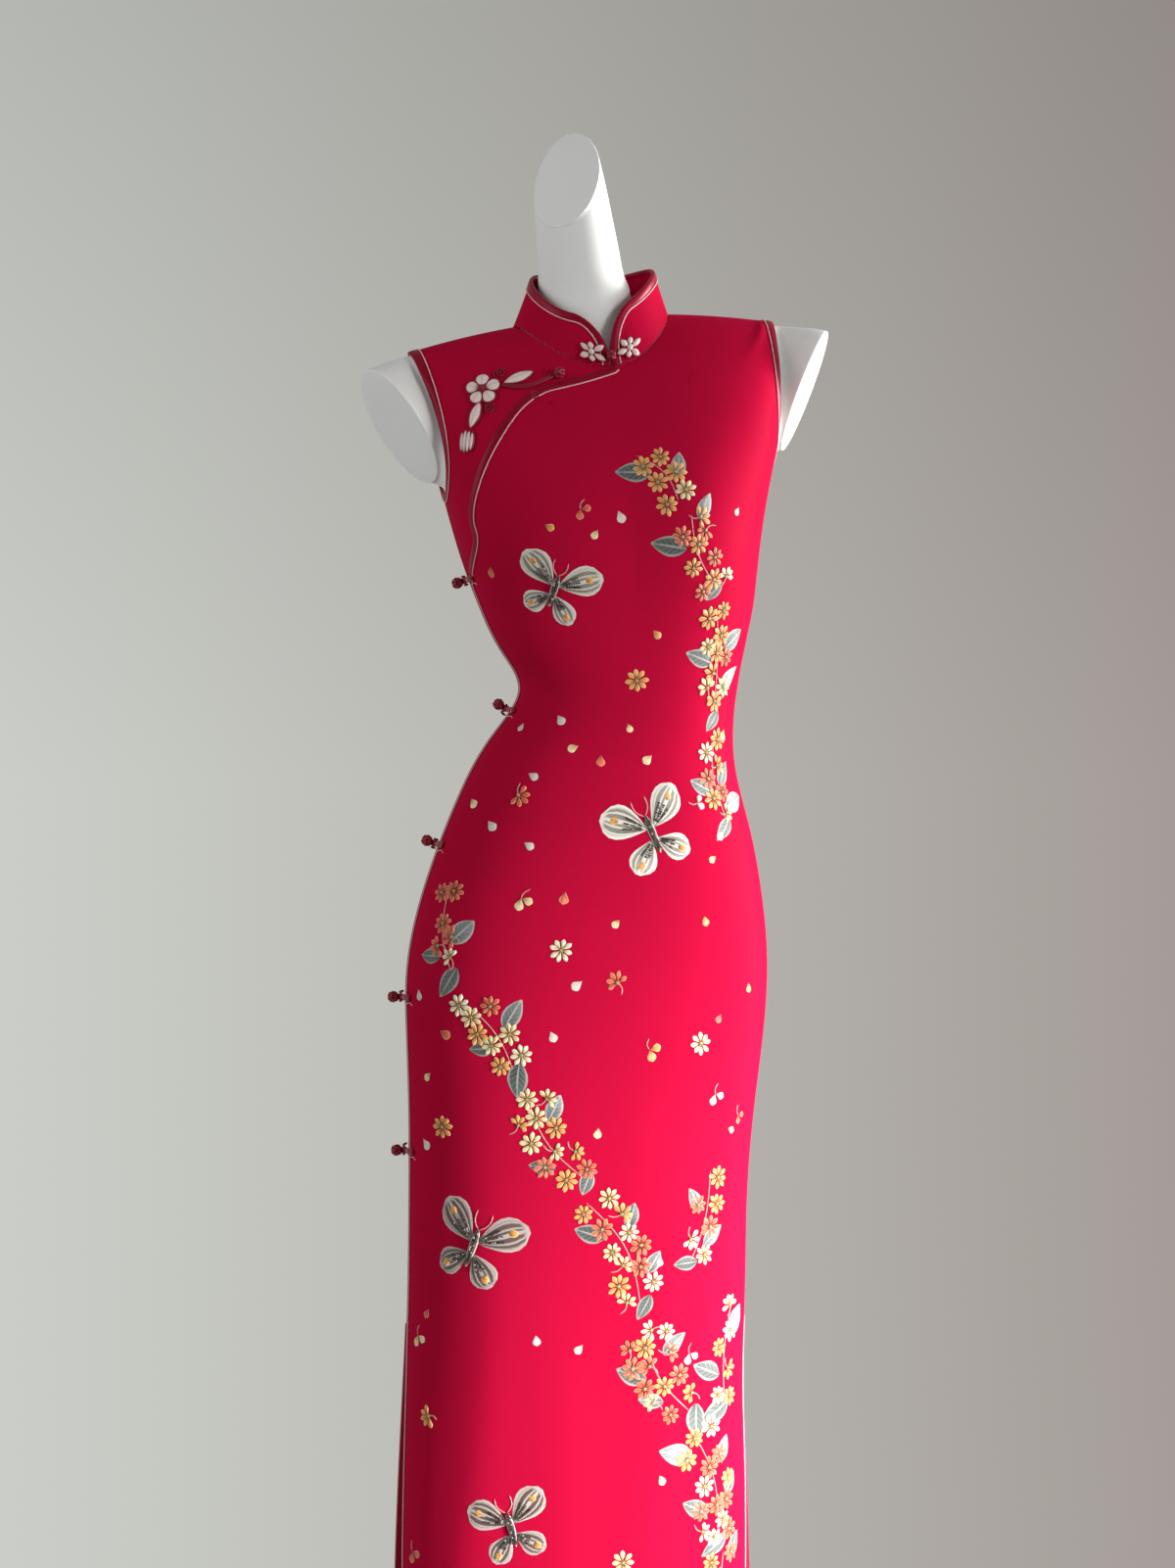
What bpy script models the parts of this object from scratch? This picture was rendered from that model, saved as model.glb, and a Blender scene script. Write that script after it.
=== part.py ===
# A sleeveless cheongsam on a limbless dress form.
# Metres, +Z up. The front faces -Y and the wearer's right side is at -X.
# The origin is the centre of the base plate's underside, on the floor.
import math

import bmesh
import bpy
import numpy as np

for thing in list(bpy.data.objects):
    bpy.data.objects.remove(thing, do_unlink=True)

# ---------------------------------------------------------------- driving sizes
WALL = 0.0012              # silk with its backing
COLLAR_WALL = 0.0020       # stiffened collar
SEAM = 0.0003              # gap between pieces at a seam
SEAM_TURN = 0.0018         # half a side seam, as a turn in radians about the figure
FORM_CLEARANCE = 0.0009    # between the cloth's inside and the form
FORM_CHEST_CLEARANCE = 0.0019
FORM_NECK_CLEARANCE = 0.0025
HEM = 0.065
ARMPIT = 1.2530
YOKE_RISE = 0.200          # length given to the yoke, from armpit line to shoulder line
PAST_RIDGE = 1.05          # how far a strip may run on over the shoulder line
SLIT_TOP = 0.420
SLIT_SPREAD = 0.004        # how far each slit edge parts from the side line at the hem
OPENING_END = 1.152        # where the curved opening meets the side seam

# Cross sections of the dressed figure. roll tips a section about the front-back axis,
# wearer's left side up, in degrees. front and back are depths from the middle.
SECTION_COLUMNS = ("height", "middle", "roll", "half_width", "front", "back", "fullness")
SECTIONS = (
    (HEM,    -0.0134,  0.0, 0.1750, 0.086, 0.088, 2.30),
    (0.1840, -0.0134,  0.0, 0.1740, 0.087, 0.089, 2.30),
    (0.2710, -0.0131,  0.0, 0.1720, 0.088, 0.090, 2.30),
    (0.3680, -0.0128,  0.0, 0.1686, 0.090, 0.093, 2.28),
    (0.4560, -0.0103,  0.0, 0.1683, 0.092, 0.096, 2.25),
    (0.5430, -0.0088,  0.0, 0.1688, 0.095, 0.100, 2.22),
    (0.6300, -0.0052,  0.0, 0.1725, 0.098, 0.105, 2.20),
    (0.7080, -0.0016, -0.4, 0.1785, 0.100, 0.109, 2.18),
    (0.7710,  0.0008, -1.2, 0.1800, 0.099, 0.111, 2.16),
    (0.8530,  0.0086, -3.8, 0.1668, 0.096, 0.105, 2.14),
    (0.9210,  0.0163, -5.5, 0.1472, 0.091, 0.094, 2.12),
    (0.9800,  0.0259, -7.5, 0.1238, 0.086, 0.083, 2.10),
    (1.0247,  0.0386, -9.2, 0.1088, 0.083, 0.077, 2.10),
    (1.0675,  0.0332, -6.0, 0.1189, 0.088, 0.080, 2.12),
    (1.1257,  0.0278, -1.0, 0.1366, 0.101, 0.088, 2.20),
    (1.1790,  0.0232,  3.0, 0.1480, 0.117, 0.095, 2.36),
    (ARMPIT,  0.0208,  6.2, 0.1645, 0.112, 0.101, 2.60),
)
BUST = {"height": 1.185, "apart": 0.080, "spread": 0.046, "tall": 0.050, "swell": 0.010}

# The yoke: how the surface closes over the shoulders, in the shoulders' own tilted frame.
SHOULDERS = {
    "rise": 0.1585,        # armpit line up to the side neck points
    "end": 0.197,          # half width where the ridge ends, out on the form's stub
    "tip": 0.1830,         # half width of the garment's shoulder seam
    "neck": 0.0777,        # half width of the neckline
    "ridge": 0.008,        # how far behind the middle the ridge runs
    "fall": 0.0160,        # drop of the shoulder seam from neck to tip
    "roundness": 1.30,     # how fully the cloth arches over the ridge
    "pit": 0.485,          # front neckline's lowest point, as a share of the yoke's rise
    "nape": 0.60,          # back neckline's lowest point
    "nape_lift": 0.060,
}
# The armhole's edge: rise is a share from the armpit to the shoulder, reach a share of the
# way from the middle of the panel to the side line.
ARMHOLE_COLUMNS = ("rise", "reach")
ARMHOLE = (
    (0.00, 1.000),
    (0.04, 0.880),
    (0.14, 0.780),
    (0.34, 0.708),
    (0.62, 0.684),
    (1.00, 0.690),
)
# The front opening, as seen from straight in front: across and up, in metres.
OPENING_COLUMNS = ("across", "up")
OPENING = (
    ( 0.0123, 1.3545),
    (-0.0144, 1.3455),
    (-0.0400, 1.3385),
    (-0.0620, 1.3315),
    (-0.0834, 1.3154),
    (-0.1005, 1.2925),
    (-0.1158, 1.2639),
    (-0.1235, 1.2400),
    (-0.1262, 1.2170),
    (-0.1238, 1.1991),
    (-0.1210, 1.1816),
)

# The stand collar. Its top is an oval that leans forward and sideways with the neck.
COLLAR = {
    "half_width": 0.0610,
    "half_depth": 0.0560,
    "middle": (0.0035, -0.0070, 1.4520),
    "front_drop": 0.044,
    "back_rise": 0.006,
    "side_rise": 0.0083,   # how much higher its top is at the wearer's left
    "front_twist": 0.0082, # what that gains in front and loses behind
    "corner": 0.038,       # radius of the rounded front corners, along the base
    "end_height": 0.007,
    "foot": 0.0010,        # gap above the neckline
    "trim": 0.0010,        # its binding's and cord's lift
}

# How finely the panels are cut into rows (from, to, how many) and columns.
ROW_STRETCHES = ((HEM, SLIT_TOP, 4), (SLIT_TOP, 0.700, 5), (0.700, 0.950, 6), (0.950, 1.090, 6),
                  (1.090, OPENING_END, 3), (OPENING_END, ARMPIT, 5))
YOKE_ROWS = 16
SHOULDER_SEAM = 0.0011     # half a shoulder seam, as a share of the yoke's rise
# Half a row's columns, from a panel's edge to its middle.
HALF_COLUMNS = (0.0, 0.08, 0.21, 0.35, 0.50, 0.63, 0.755, 0.88, 1.0)
YOKE_HALF_COLUMNS = (0.0, 0.20, 0.45, 0.72, 1.0)
YOKE_TIP = 0.0022         # how far above its end the underlap starts, where it is wide enough

BINDING = {"inset": 0.0004, "width": 0.0070, "low": 0.0007, "high": 0.0016}
CORD = {"width": 0.0012, "low": 0.0007, "high": 0.0019, "gap": 0.0003}

# The form under the cloth. Neck rows: height, middle across, middle depth, half width, half depth.
NECK_COLUMNS = ("height", "across", "depth", "half_width", "half_depth")
NECK = (
    (1.4330, -0.0020, -0.0030, 0.0475, 0.0490),
    (1.4510, -0.0075, -0.0080, 0.0428, 0.0450),
    (1.4700, -0.0108, -0.0120, 0.0408, 0.0430),
    (1.4995, -0.0158, -0.0165, 0.0388, 0.0410),
    (1.5430, -0.0222, -0.0210, 0.0350, 0.0375),
    (1.6000, -0.0315, -0.0250, 0.0285, 0.0320),
)
NECK_CUT = {"through": (-0.0240, -0.0215, 1.5485), "slope_across": 1.15, "slope_depth": 1.50}
STUB = {
    "middle": (0.2050, 0.0000, -0.0885),   # cap's middle in the shoulders' frame, wearer's left
    "aside": 0.0035,                       # shift of both caps to the wearer's left
    "tall": 0.0635,                        # half height of the cap
    "deep": 0.0445,                        # half depth of the cap
    "dip": 29.0,                           # degrees that the cap faces downward
    "forward": 20.0,                       # degrees that the cap faces forward
    "lead": 0.0035,                        # how far it runs on along the shoulder first
    "leave": 0.42,                         # how strongly it keeps that heading
    "arrive": 0.55,                        # how squarely it meets its cap
    "edge": 0.0012,                        # bevel of its cap
}
TORSO_BOTTOM = 0.600
FLOOR_BEVEL = 0.985        # how far in the torso's floor starts, as a share
NECK_FOOT = {"rise": 0.030, "front": 0.012, "edge": 0.0008, "edge_share": 0.06}
POLE = {
    "radius": 0.0125,
    "flange": 0.055,
    "flange_thick": 0.006,
    "collar": 0.028,
    "collar_tall": 0.050,
}
BASE = {"radius": 0.170, "thick": 0.012, "edge": 0.003}

# Closures down the side opening, by height on the left of the front panel.
# over is the lift that clears the binding's cord there.
SIDE_KNOT_COLUMNS = ("height", "over")
SIDE_KNOTS = ((1.156, 0.0026), (1.004, 0.0032), (0.878, 0.0024), (0.740, 0.0024), (0.592, 0.0024))
KNOT = {"ball": 0.0054, "stem": 0.0021, "over_tab": 0.0003, "middle": 0.0105}
TAB = {"behind": -0.003, "reach": 0.018, "half_wide": 0.0030, "thick": 0.0017}
LOOP = {"wire": 0.0012, "ring": 0.0042, "tail": 0.018, "high": 0.0034, "low": 0.0018}

# Frogs. Places on the bodice are seen from straight in front, in metres; long is a leaf's
# length or a blossom's radius, and tilt is in degrees.
FROG_COLUMNS = ("name", "across", "up", "long", "wide", "tilt")
CHEST_FROG = (
    ("chest_blossom",    -0.1135, 1.3310, 0.0170, 0.0,    12.0),
    ("chest_leaf_upper", -0.0790, 1.3425, 0.0330, 0.0110, 14.0),
    ("chest_leaf_lower", -0.1215, 1.3050, 0.0280, 0.0100, 66.0),
    ("chest_bud",        -0.1290, 1.2800, 0.0210, 0.0120, 80.0),
)
CHEST_CORD = ((-0.0950, 1.3350), (-0.0830, 1.3325), (-0.0700, 1.3335), (-0.0580, 1.3380), (-0.0480, 1.3435))
CHEST_CORD_WIDE = 0.0026
CHEST_CORD_THICK = 0.0018
CHEST_KNOT = (-0.0400, 1.3447)
COLLAR_BLOSSOMS = (("collar_blossom_right", -0.0185), ("collar_blossom_left", 0.0205))
COLLAR_BLOSSOM = {"up": 0.0125, "radius": 0.0128, "thick": 0.0024}
PETAL_THICK = 0.0030
OVER_BINDING = 0.0028      # lift that clears a binding and its cord
ON_CLOTH = 0.0009
KNOT_SEATS = {"chest": 0.0001, "collar": 0.0018}


# ---------------------------------------------------------------- the worn surface
def spline(at, knots, values):
    """Natural cubic spline through a column of a table, read anywhere."""
    knots = np.asarray(knots, float)
    values = np.asarray(values, float)
    gap = np.diff(knots)
    slope = np.diff(values) / gap
    size = len(knots)
    system = np.eye(size)
    target = np.zeros(size)
    for row in range(1, size - 1):
        system[row, row - 1:row + 2] = gap[row - 1], 2 * (gap[row - 1] + gap[row]), gap[row]
        target[row] = 6 * (slope[row] - slope[row - 1])
    bend = np.linalg.solve(system, target)
    at = np.asarray(at, float)
    cell = np.clip(np.searchsorted(knots, at, side="right") - 1, 0, size - 2)
    left = at - knots[cell]
    right = knots[cell + 1] - at
    width = gap[cell]
    return (
        (bend[cell] * right**3 + bend[cell + 1] * left**3) / (6 * width)
        + (values[cell] / width - bend[cell] * width / 6) * right
        + (values[cell + 1] / width - bend[cell + 1] * width / 6) * left
    )


def section(height):
    """The section table read at any heights, as a dictionary of columns."""
    knots = [row[0] for row in SECTIONS]
    read = {}
    for place, name in enumerate(SECTION_COLUMNS[1:], start=1):
        read[name] = spline(height, knots, [row[place] for row in SECTIONS])
    return read


def lower(turn, height):
    """Points of the dress below the armpits. turn is 0 at the wearer's left side seam,
    -pi/2 at the front and +pi/2 at the back. Each section is a superellipse, with a soft
    bust laid on the front."""
    row = section(height)
    cos = np.cos(turn)
    sin = np.sin(turn)
    reach = (np.abs(cos)**row["fullness"] + np.abs(sin)**row["fullness"])**(-1 / row["fullness"])
    below_slit = np.clip((SLIT_TOP - height) / (SLIT_TOP - HEM), 0, 1)
    half_width = row["half_width"] + np.where(sin < 0, -SLIT_SPREAD, SLIT_SPREAD) * below_slit
    across = half_width * cos * reach
    depth = np.where(sin < 0, row["front"], row["back"]) * sin * reach
    off = (np.abs(across) - BUST["apart"]) / BUST["spread"]
    rise = (height - BUST["height"]) / BUST["tall"]
    depth = depth - BUST["swell"] * np.maximum(-sin, 0)**2 * np.exp(-(off**2 + rise**2) / 2)
    roll = np.radians(row["roll"])
    return np.stack([
        row["middle"] + across * np.cos(roll),
        depth,
        height + across * np.sin(roll),
    ], axis=-1)


def to_shoulders(point):
    """World points in the shoulders' frame: its middle is level with the side neck points."""
    roll = math.radians(SECTIONS[-1][2])
    x = point[..., 0] - SECTIONS[-1][1]
    z = point[..., 2] - ARMPIT
    return np.stack([
        x * math.cos(roll) + z * math.sin(roll),
        point[..., 1],
        -x * math.sin(roll) + z * math.cos(roll) - SHOULDERS["rise"],
    ], axis=-1)


def from_shoulders(point):
    roll = math.radians(SECTIONS[-1][2])
    x = point[..., 0]
    z = point[..., 2] + SHOULDERS["rise"]
    return np.stack([
        SECTIONS[-1][1] + x * math.cos(roll) - z * math.sin(roll),
        point[..., 1],
        ARMPIT + x * math.sin(roll) + z * math.cos(roll),
    ], axis=-1)


def side_share(turn):
    """How far out a line of the dress lies at the armpits, from -1 to 1."""
    power = SECTIONS[-1][6]
    cos = np.cos(turn)
    return cos * (np.abs(cos)**power + np.abs(np.sin(turn))**power)**(-1 / power)


def yoke(turn, share):
    """Points over the shoulders: share 0 is the armpit line and 1 the ridge. Each line is a
    cubic that leaves the chest as it rose and arrives flat at the ridge."""
    base = lower(turn, np.full_like(turn, ARMPIT))
    below = lower(turn, np.full_like(turn, ARMPIT - 0.001))
    start = to_shoulders(base)
    leave = (start - to_shoulders(below)) / 0.001 * YOKE_RISE
    out = side_share(turn)
    neck = SHOULDERS["neck"] / SHOULDERS["end"]
    tip = SHOULDERS["tip"] / SHOULDERS["end"]
    ridge = -SHOULDERS["fall"] * (out**2 - neck**2) / (tip**2 - neck**2)
    inside = np.clip(1 - (out / neck)**2, 0, None)
    ridge = ridge + np.where(np.sin(turn) > 0, SHOULDERS["nape_lift"], 0) * inside**2
    end = np.stack([
        out * SHOULDERS["end"], np.full_like(out, SHOULDERS["ridge"]), ridge,
    ], axis=-1)
    arrive = np.zeros_like(end)
    arrive[..., 1] = SHOULDERS["roundness"] * (SHOULDERS["ridge"] - start[..., 1])
    share = np.asarray(share)[..., None]
    point = (
        start * (2 * share**3 - 3 * share**2 + 1)
        + leave * (share**3 - 2 * share**2 + share)
        + end * (3 * share**2 - 2 * share**3)
        + arrive * (share**3 - share**2)
    )
    return from_shoulders(point)


def surface(turn, height):
    """The outside of the dress, from the hem to ARMPIT + YOKE_RISE on the ridge."""
    turn, height = np.broadcast_arrays(np.asarray(turn, float), np.asarray(height, float))
    share = np.clip((height - ARMPIT) / YOKE_RISE, 0, PAST_RIDGE)
    under = lower(turn, np.minimum(height, ARMPIT))
    over = yoke(turn, share)
    return np.where((height > ARMPIT)[..., None], over, under)


# ---------------------------------------------------------------- materials
# name: base colour (linear), roughness, metallic
FINISH_COLUMNS = ("name", "colour", "roughness", "metallic")
FINISHES = (
    ("silk", (0.700, 0.006, 0.040), 0.45, 0.0),
    ("binding", (0.300, 0.004, 0.022), 0.38, 0.0),
    ("pale_cord", (0.850, 0.440, 0.470), 0.50, 0.0),
    ("red_cord", (0.330, 0.005, 0.024), 0.45, 0.0),
    ("padded_petal", (0.860, 0.720, 0.700), 0.50, 0.0),
    ("form_white", (0.800, 0.800, 0.780), 0.60, 0.0),
    ("form_steel", (0.720, 0.720, 0.700), 0.35, 0.0),
)


def finish(name, colour, roughness, metallic):
    material = bpy.data.materials.new(name)
    material.use_nodes = True
    shader = material.node_tree.nodes["Principled BSDF"]
    shader.inputs["Base Color"].default_value = (*colour, 1.0)
    shader.inputs["Roughness"].default_value = roughness
    shader.inputs["Metallic"].default_value = metallic
    material.diffuse_color = (*colour, 1.0)
    return material


MATERIALS = {row[0]: finish(*row) for row in FINISHES}
SMOOTH_BELOW = math.radians(42)


def add(name, points, faces, material):
    """One named object from points and faces, its faces turned outward."""
    mesh = bpy.data.meshes.new(name)
    mesh.from_pydata(np.asarray(points, float).tolist(), [], faces)
    body = bmesh.new()
    body.from_mesh(mesh)
    bmesh.ops.recalc_face_normals(body, faces=body.faces)
    if body.calc_volume(signed=True) < 0:
        bmesh.ops.reverse_faces(body, faces=body.faces)
    body.to_mesh(mesh)
    body.free()
    mesh.polygons.foreach_set("use_smooth", [True] * len(mesh.polygons))
    mesh.set_sharp_from_angle(angle=SMOOTH_BELOW)
    mesh.materials.append(MATERIALS[material])
    piece = bpy.data.objects.new(name, mesh)
    bpy.context.scene.collection.objects.link(piece)
    return piece


# ---------------------------------------------------------------- pieces
def normal_at(turn, height):
    """Outward unit normals of the worn surface, from small steps each way."""
    small_turn = 0.002
    small_height = 0.0004
    along = surface(turn + small_turn, height) - surface(turn - small_turn, height)
    up = surface(turn, height + small_height) - surface(turn, height - small_height)
    outward = np.cross(along, up)
    return outward / np.linalg.norm(outward, axis=-1, keepdims=True)


def cloth(turn, height, lift=0.0):
    """Points of the cloth, moved out by lift, or in where lift is negative."""
    turn, height, lift = np.broadcast_arrays(turn, height, lift)
    return surface(turn, height) + normal_at(turn, height) * lift[..., None]


def beside(turn, height, across):
    """A line on the cloth moved sideways over it by across metres, to the left of its run."""
    step = 0.0005
    along_turn = (surface(turn + step, height) - surface(turn - step, height)) / (2 * step)
    along_height = (surface(turn, height + step) - surface(turn, height - step)) / (2 * step)
    line = surface(turn, height)
    run = np.gradient(line, axis=0)
    if np.allclose(line[0], line[-1], atol=1e-6):
        run[0] = run[-1] = run[0] + run[-1]
    run = run / np.linalg.norm(run, axis=-1, keepdims=True)
    outward = np.cross(along_turn, along_height)
    outward = outward / np.linalg.norm(outward, axis=-1, keepdims=True)
    aside = np.cross(outward, run) * np.asarray(across)[..., None]
    tt = np.sum(along_turn * along_turn, axis=-1)
    hh = np.sum(along_height * along_height, axis=-1)
    th = np.sum(along_turn * along_height, axis=-1)
    at = np.sum(aside * along_turn, axis=-1)
    ah = np.sum(aside * along_height, axis=-1)
    solve = tt * hh - th * th
    return turn + (at * hh - ah * th) / solve, height + (ah * tt - at * th) / solve


def spot(across, up):
    """Where a point seen from straight in front lies on the front of the cloth."""
    across = np.asarray(across, float)
    up = np.asarray(up, float)
    height = np.clip(up, HEM, ARMPIT + 0.7 * YOKE_RISE)
    row = section(np.minimum(height, ARMPIT))
    share = np.clip((across - row["middle"]) / row["half_width"], -0.93, 0.93)
    turn = -np.arccos(share)
    step = 0.0005
    for _ in range(14):
        miss = np.stack([across, up], axis=-1) - surface(turn, height)[..., (0, 2)]
        by_turn = (surface(turn + step, height) - surface(turn - step, height))[..., (0, 2)] / (2 * step)
        by_height = (surface(turn, height + step) - surface(turn, height - step))[..., (0, 2)] / (2 * step)
        solve = by_turn[..., 0] * by_height[..., 1] - by_turn[..., 1] * by_height[..., 0]
        move_turn = (miss[..., 0] * by_height[..., 1] - miss[..., 1] * by_height[..., 0]) / solve
        move_height = (by_turn[..., 0] * miss[..., 1] - by_turn[..., 1] * miss[..., 0]) / solve
        turn = turn + np.clip(move_turn, -0.2, 0.2)
        height = height + np.clip(move_height, -0.05, 0.05)
    return turn, height


def turn_of(out, back):
    """The line of the dress that lies a share out of the way to the side at the armpits."""
    table = np.linspace(-math.pi / 2, 0, 1801)
    turn = np.interp(np.abs(out), side_share(table), table)
    turn = np.where(np.asarray(out) < 0, -math.pi - turn, turn)
    return np.where(back, -turn, turn)


def neck_top(turn):
    """Height coordinate of the garment's upper edge on each line: the shoulder ridge, and
    an oval neckline between the side neck points."""
    neck = SHOULDERS["neck"] / SHOULDERS["end"]
    low = np.where(np.sin(turn) < 0, SHOULDERS["pit"], SHOULDERS["nape"])
    inside = np.sqrt(np.clip(1 - (side_share(turn) / neck)**2, 0, None))
    return 1 - (1 - low) * inside


def armhole_reach(rise):
    """Share of the way to the side line at which the armhole cuts a row of the yoke."""
    rows = [row[0] for row in ARMHOLE]
    reach = [row[1] for row in ARMHOLE]
    return spline(np.sqrt(np.clip(rise, 0, 1)), np.sqrt(rows), reach)


def panel_turn(share, rise, back):
    """Spreads a row's columns, share -1 to 1, from armhole to armhole. Rows below the
    armpits are even, and the top row puts a column on each side neck point."""
    share = np.asarray(share, float)
    neck = SHOULDERS["neck"] / SHOULDERS["end"]
    reach = armhole_reach(rise)
    neck_share = 1 - abs(float(turn_of(neck, False))) / (math.pi / 2)
    inner = np.sin(np.clip(np.abs(share), 0, 0.5) * math.pi) * neck
    inner = 1 - np.abs(turn_of(inner, False)) / (math.pi / 2)
    outer = neck_share + (reach - neck_share) * (2 * np.abs(share) - 1)
    top = np.sign(share) * np.where(np.abs(share) < 0.5, inner, outer)
    even = share * reach
    mix = rise * rise * (3 - 2 * rise)
    spread = even * (1 - mix) + top * mix
    quarter = math.pi / 2
    return np.where(back, quarter - spread * quarter, -quarter + spread * quarter)


def panel_point(share, row, back):
    """A panel's column share and row (0 at the armpit line and 1 at the upper edge, or a
    height below the armpits) as turn and height."""
    rise = np.clip((row - ARMPIT) / YOKE_RISE, 0, 1)
    turn = panel_turn(share, rise, back)
    height = np.where(row > ARMPIT, ARMPIT + rise * neck_top(turn) * YOKE_RISE, row)
    return turn, height


def split(cells):
    """Cuts each four-sided cell from its first corner to its third."""
    cells = cells.reshape(-1, 4)
    return np.concatenate([cells[:, (0, 1, 2)], cells[:, (0, 2, 3)]])


def closed_grid(outer, inner):
    """One closed wall from two grids of points, outer and inner, of the same size."""
    rows, columns = outer.shape[:2]
    points = np.concatenate([outer.reshape(-1, 3), inner.reshape(-1, 3)])
    far = rows * columns
    index = np.arange(far).reshape(rows, columns)
    cell = np.stack([index[:-1, :-1], index[:-1, 1:], index[1:, 1:], index[1:, :-1]], axis=-1)
    faces = [split(cell), split(cell)[:, ::-1] + far]
    rim = np.concatenate([index[0, :-1], index[:-1, -1], index[-1, :0:-1], index[:0:-1, 0]])
    nxt = np.roll(rim, -1)
    faces.append(split(np.stack([rim + far, nxt + far, nxt, rim], axis=-1)))
    return points, np.concatenate(faces)


def closed_tube(rings):
    """One closed body from rings of points, its ends closed by fans about their middles."""
    count, around = rings.shape[:2]
    ends = rings[[0, -1]].mean(axis=1)
    points = np.concatenate([rings.reshape(-1, 3), ends])
    index = np.arange(count * around).reshape(count, around)
    onward = np.roll(index, -1, axis=1)
    sides = split(np.stack([index[:-1], onward[:-1], onward[1:], index[1:]], axis=-1))
    first = np.full(around, count * around)
    fans = np.concatenate([
        np.stack([onward[0], index[0], first], axis=-1),
        np.stack([index[-1], onward[-1], first + 1], axis=-1),
    ])
    return points, sides.tolist() + fans.tolist()


def opening_line(count):
    """The front opening from the neck's pit round to the side seam, as turn and height."""
    across, up = (np.array(column) for column in zip(*OPENING))
    turn, height = spot(across, up)
    turn = np.append(turn, -math.pi + SEAM_TURN)
    height = np.append(height, OPENING_END)
    knots = np.arange(len(turn))
    at = np.linspace(0, knots[-1], count)
    return spline(at, knots, turn), spline(at, knots, height)


def opening_share(row, aside):
    """Where the opening crosses each row of the front, moved aside from its line."""
    turn, height = opening_line(481)
    turn, height = beside(turn, height, np.full(turn.shape, aside))
    rise = (height - ARMPIT) / YOKE_RISE / neck_top(turn)
    line_row = np.where(height > ARMPIT, ARMPIT + rise * YOKE_RISE, height)
    order = np.argsort(line_row)
    crossing = np.interp(row, line_row[order], turn[order])
    table = np.linspace(-1, 1, 401)
    share = [
        np.interp(one, panel_turn(table, one_rise, False), table)
        for one, one_rise in zip(crossing, np.clip((row - ARMPIT) / YOKE_RISE, 0, 1))
    ]
    return np.array(share)


def row_heights():
    """Rows of a panel from hem to shoulder, closer together where the figure curves."""
    rows = [np.linspace(*stretch, endpoint=False) for stretch in ROW_STRETCHES]
    return np.concatenate(rows + [yoke_rows()])


def yoke_rows():
    """Rows from the armpits to the shoulder, closer at both ends."""
    rise = (1 - np.cos(np.linspace(0, math.pi, YOKE_ROWS))) / 2
    return ARMPIT + YOKE_RISE * np.minimum(rise, 1 - SHOULDER_SEAM)


def wall_piece(name, turn, height, material, wall=WALL):
    outer = cloth(turn, height)
    inner = cloth(turn, height, -wall)
    points, faces = closed_grid(outer, inner)
    return add(name, points, faces.tolist(), material)


def spread_columns(rows, left, right, half):
    """Column shares between two edges on every row. A column ends on the side neck point
    where the top row passes one."""
    half = np.array(half)
    middle = (left + right) / 2
    rise = np.clip((rows - ARMPIT) / YOKE_RISE, 0, 1)
    middle = middle + (np.round(middle * 2) / 2 - middle) * rise**4
    near = left[:, None] + (middle - left)[:, None] * half
    far = right[:, None] + (middle - right)[:, None] * half[-2::-1]
    return np.concatenate([near, far], axis=1)


def panel(name, rows, left, right, half, back, material):
    """A panel between two column shares on every row."""
    share = spread_columns(rows, left, right, half)
    row = np.repeat(rows[:, None], share.shape[1], axis=1)
    turn, height = panel_point(share, row, back)
    return wall_piece(name, turn, height, material)


def strip(name, turn, height, near, far, low, high, material):
    """A flat strip laid on the cloth beside a line, from near to far and low to high."""
    rings = []
    for aside, lift in ((near, low), (far, low), (far, high), (near, high)):
        moved = beside(turn, height, np.full(turn.shape, aside))
        rings.append(cloth(moved[0], moved[1], lift))
    points, faces = closed_tube(np.stack(rings, axis=1))
    return add(name, points, faces, material)


def bound_edge(name, line, side, lay=strip):
    """A binding along an edge, and the pale cord set in beside it. side is +1 where the
    cloth lies to the left of the line's run."""
    cord = BINDING["width"] + CORD["gap"]
    lay(name + "_binding", *line, side * BINDING["inset"], side * BINDING["width"],
        BINDING["low"], BINDING["high"], "binding")
    lay(name + "_cord", *line, side * cord, side * (cord + CORD["width"]),
        CORD["low"], CORD["high"], "pale_cord")


def armhole_line(side):
    """The armhole's edge as turn and height: armpit, up the front, over, and down the back.
    side is +1 at the wearer's left."""
    rows = yoke_rows()
    front = panel_point(float(side), rows, False)
    back = panel_point(float(side), rows[:0:-1], True)
    close = front[0][:1], front[1][:1]
    if side < 0:
        back = back[0] - 2 * math.pi, back[1]
    return (
        np.concatenate([front[0], back[0], close[0]]),
        np.concatenate([front[1], back[1], close[1]]),
    )


def ring_strip(name, turn, height, near, far, low, high, material):
    """A strip like the others whose line closes on itself."""
    rings = []
    for aside, lift in ((near, low), (far, low), (far, high), (near, high)):
        moved = beside(turn, height, np.full(turn.shape, aside))
        rings.append(cloth(moved[0], moved[1], lift)[:-1])
    rings = np.stack(rings, axis=1)
    count, around = rings.shape[:2]
    index = np.arange(count * around).reshape(count, around)
    onward = np.roll(index, -1, axis=0)
    cell = np.stack([index, np.roll(index, -1, 1), np.roll(onward, -1, 1), onward], axis=-1)
    return add(name, rings.reshape(-1, 3), split(cell).tolist(), material)


def neckline(angle):
    """The neckline by angle: 0 at the front, a quarter turn at the wearer's left."""
    out = SHOULDERS["neck"] / SHOULDERS["end"] * np.sin(angle)
    turn = turn_of(out, np.cos(angle) < 0)
    return surface(turn, ARMPIT + neck_top(turn) * YOKE_RISE)


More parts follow.
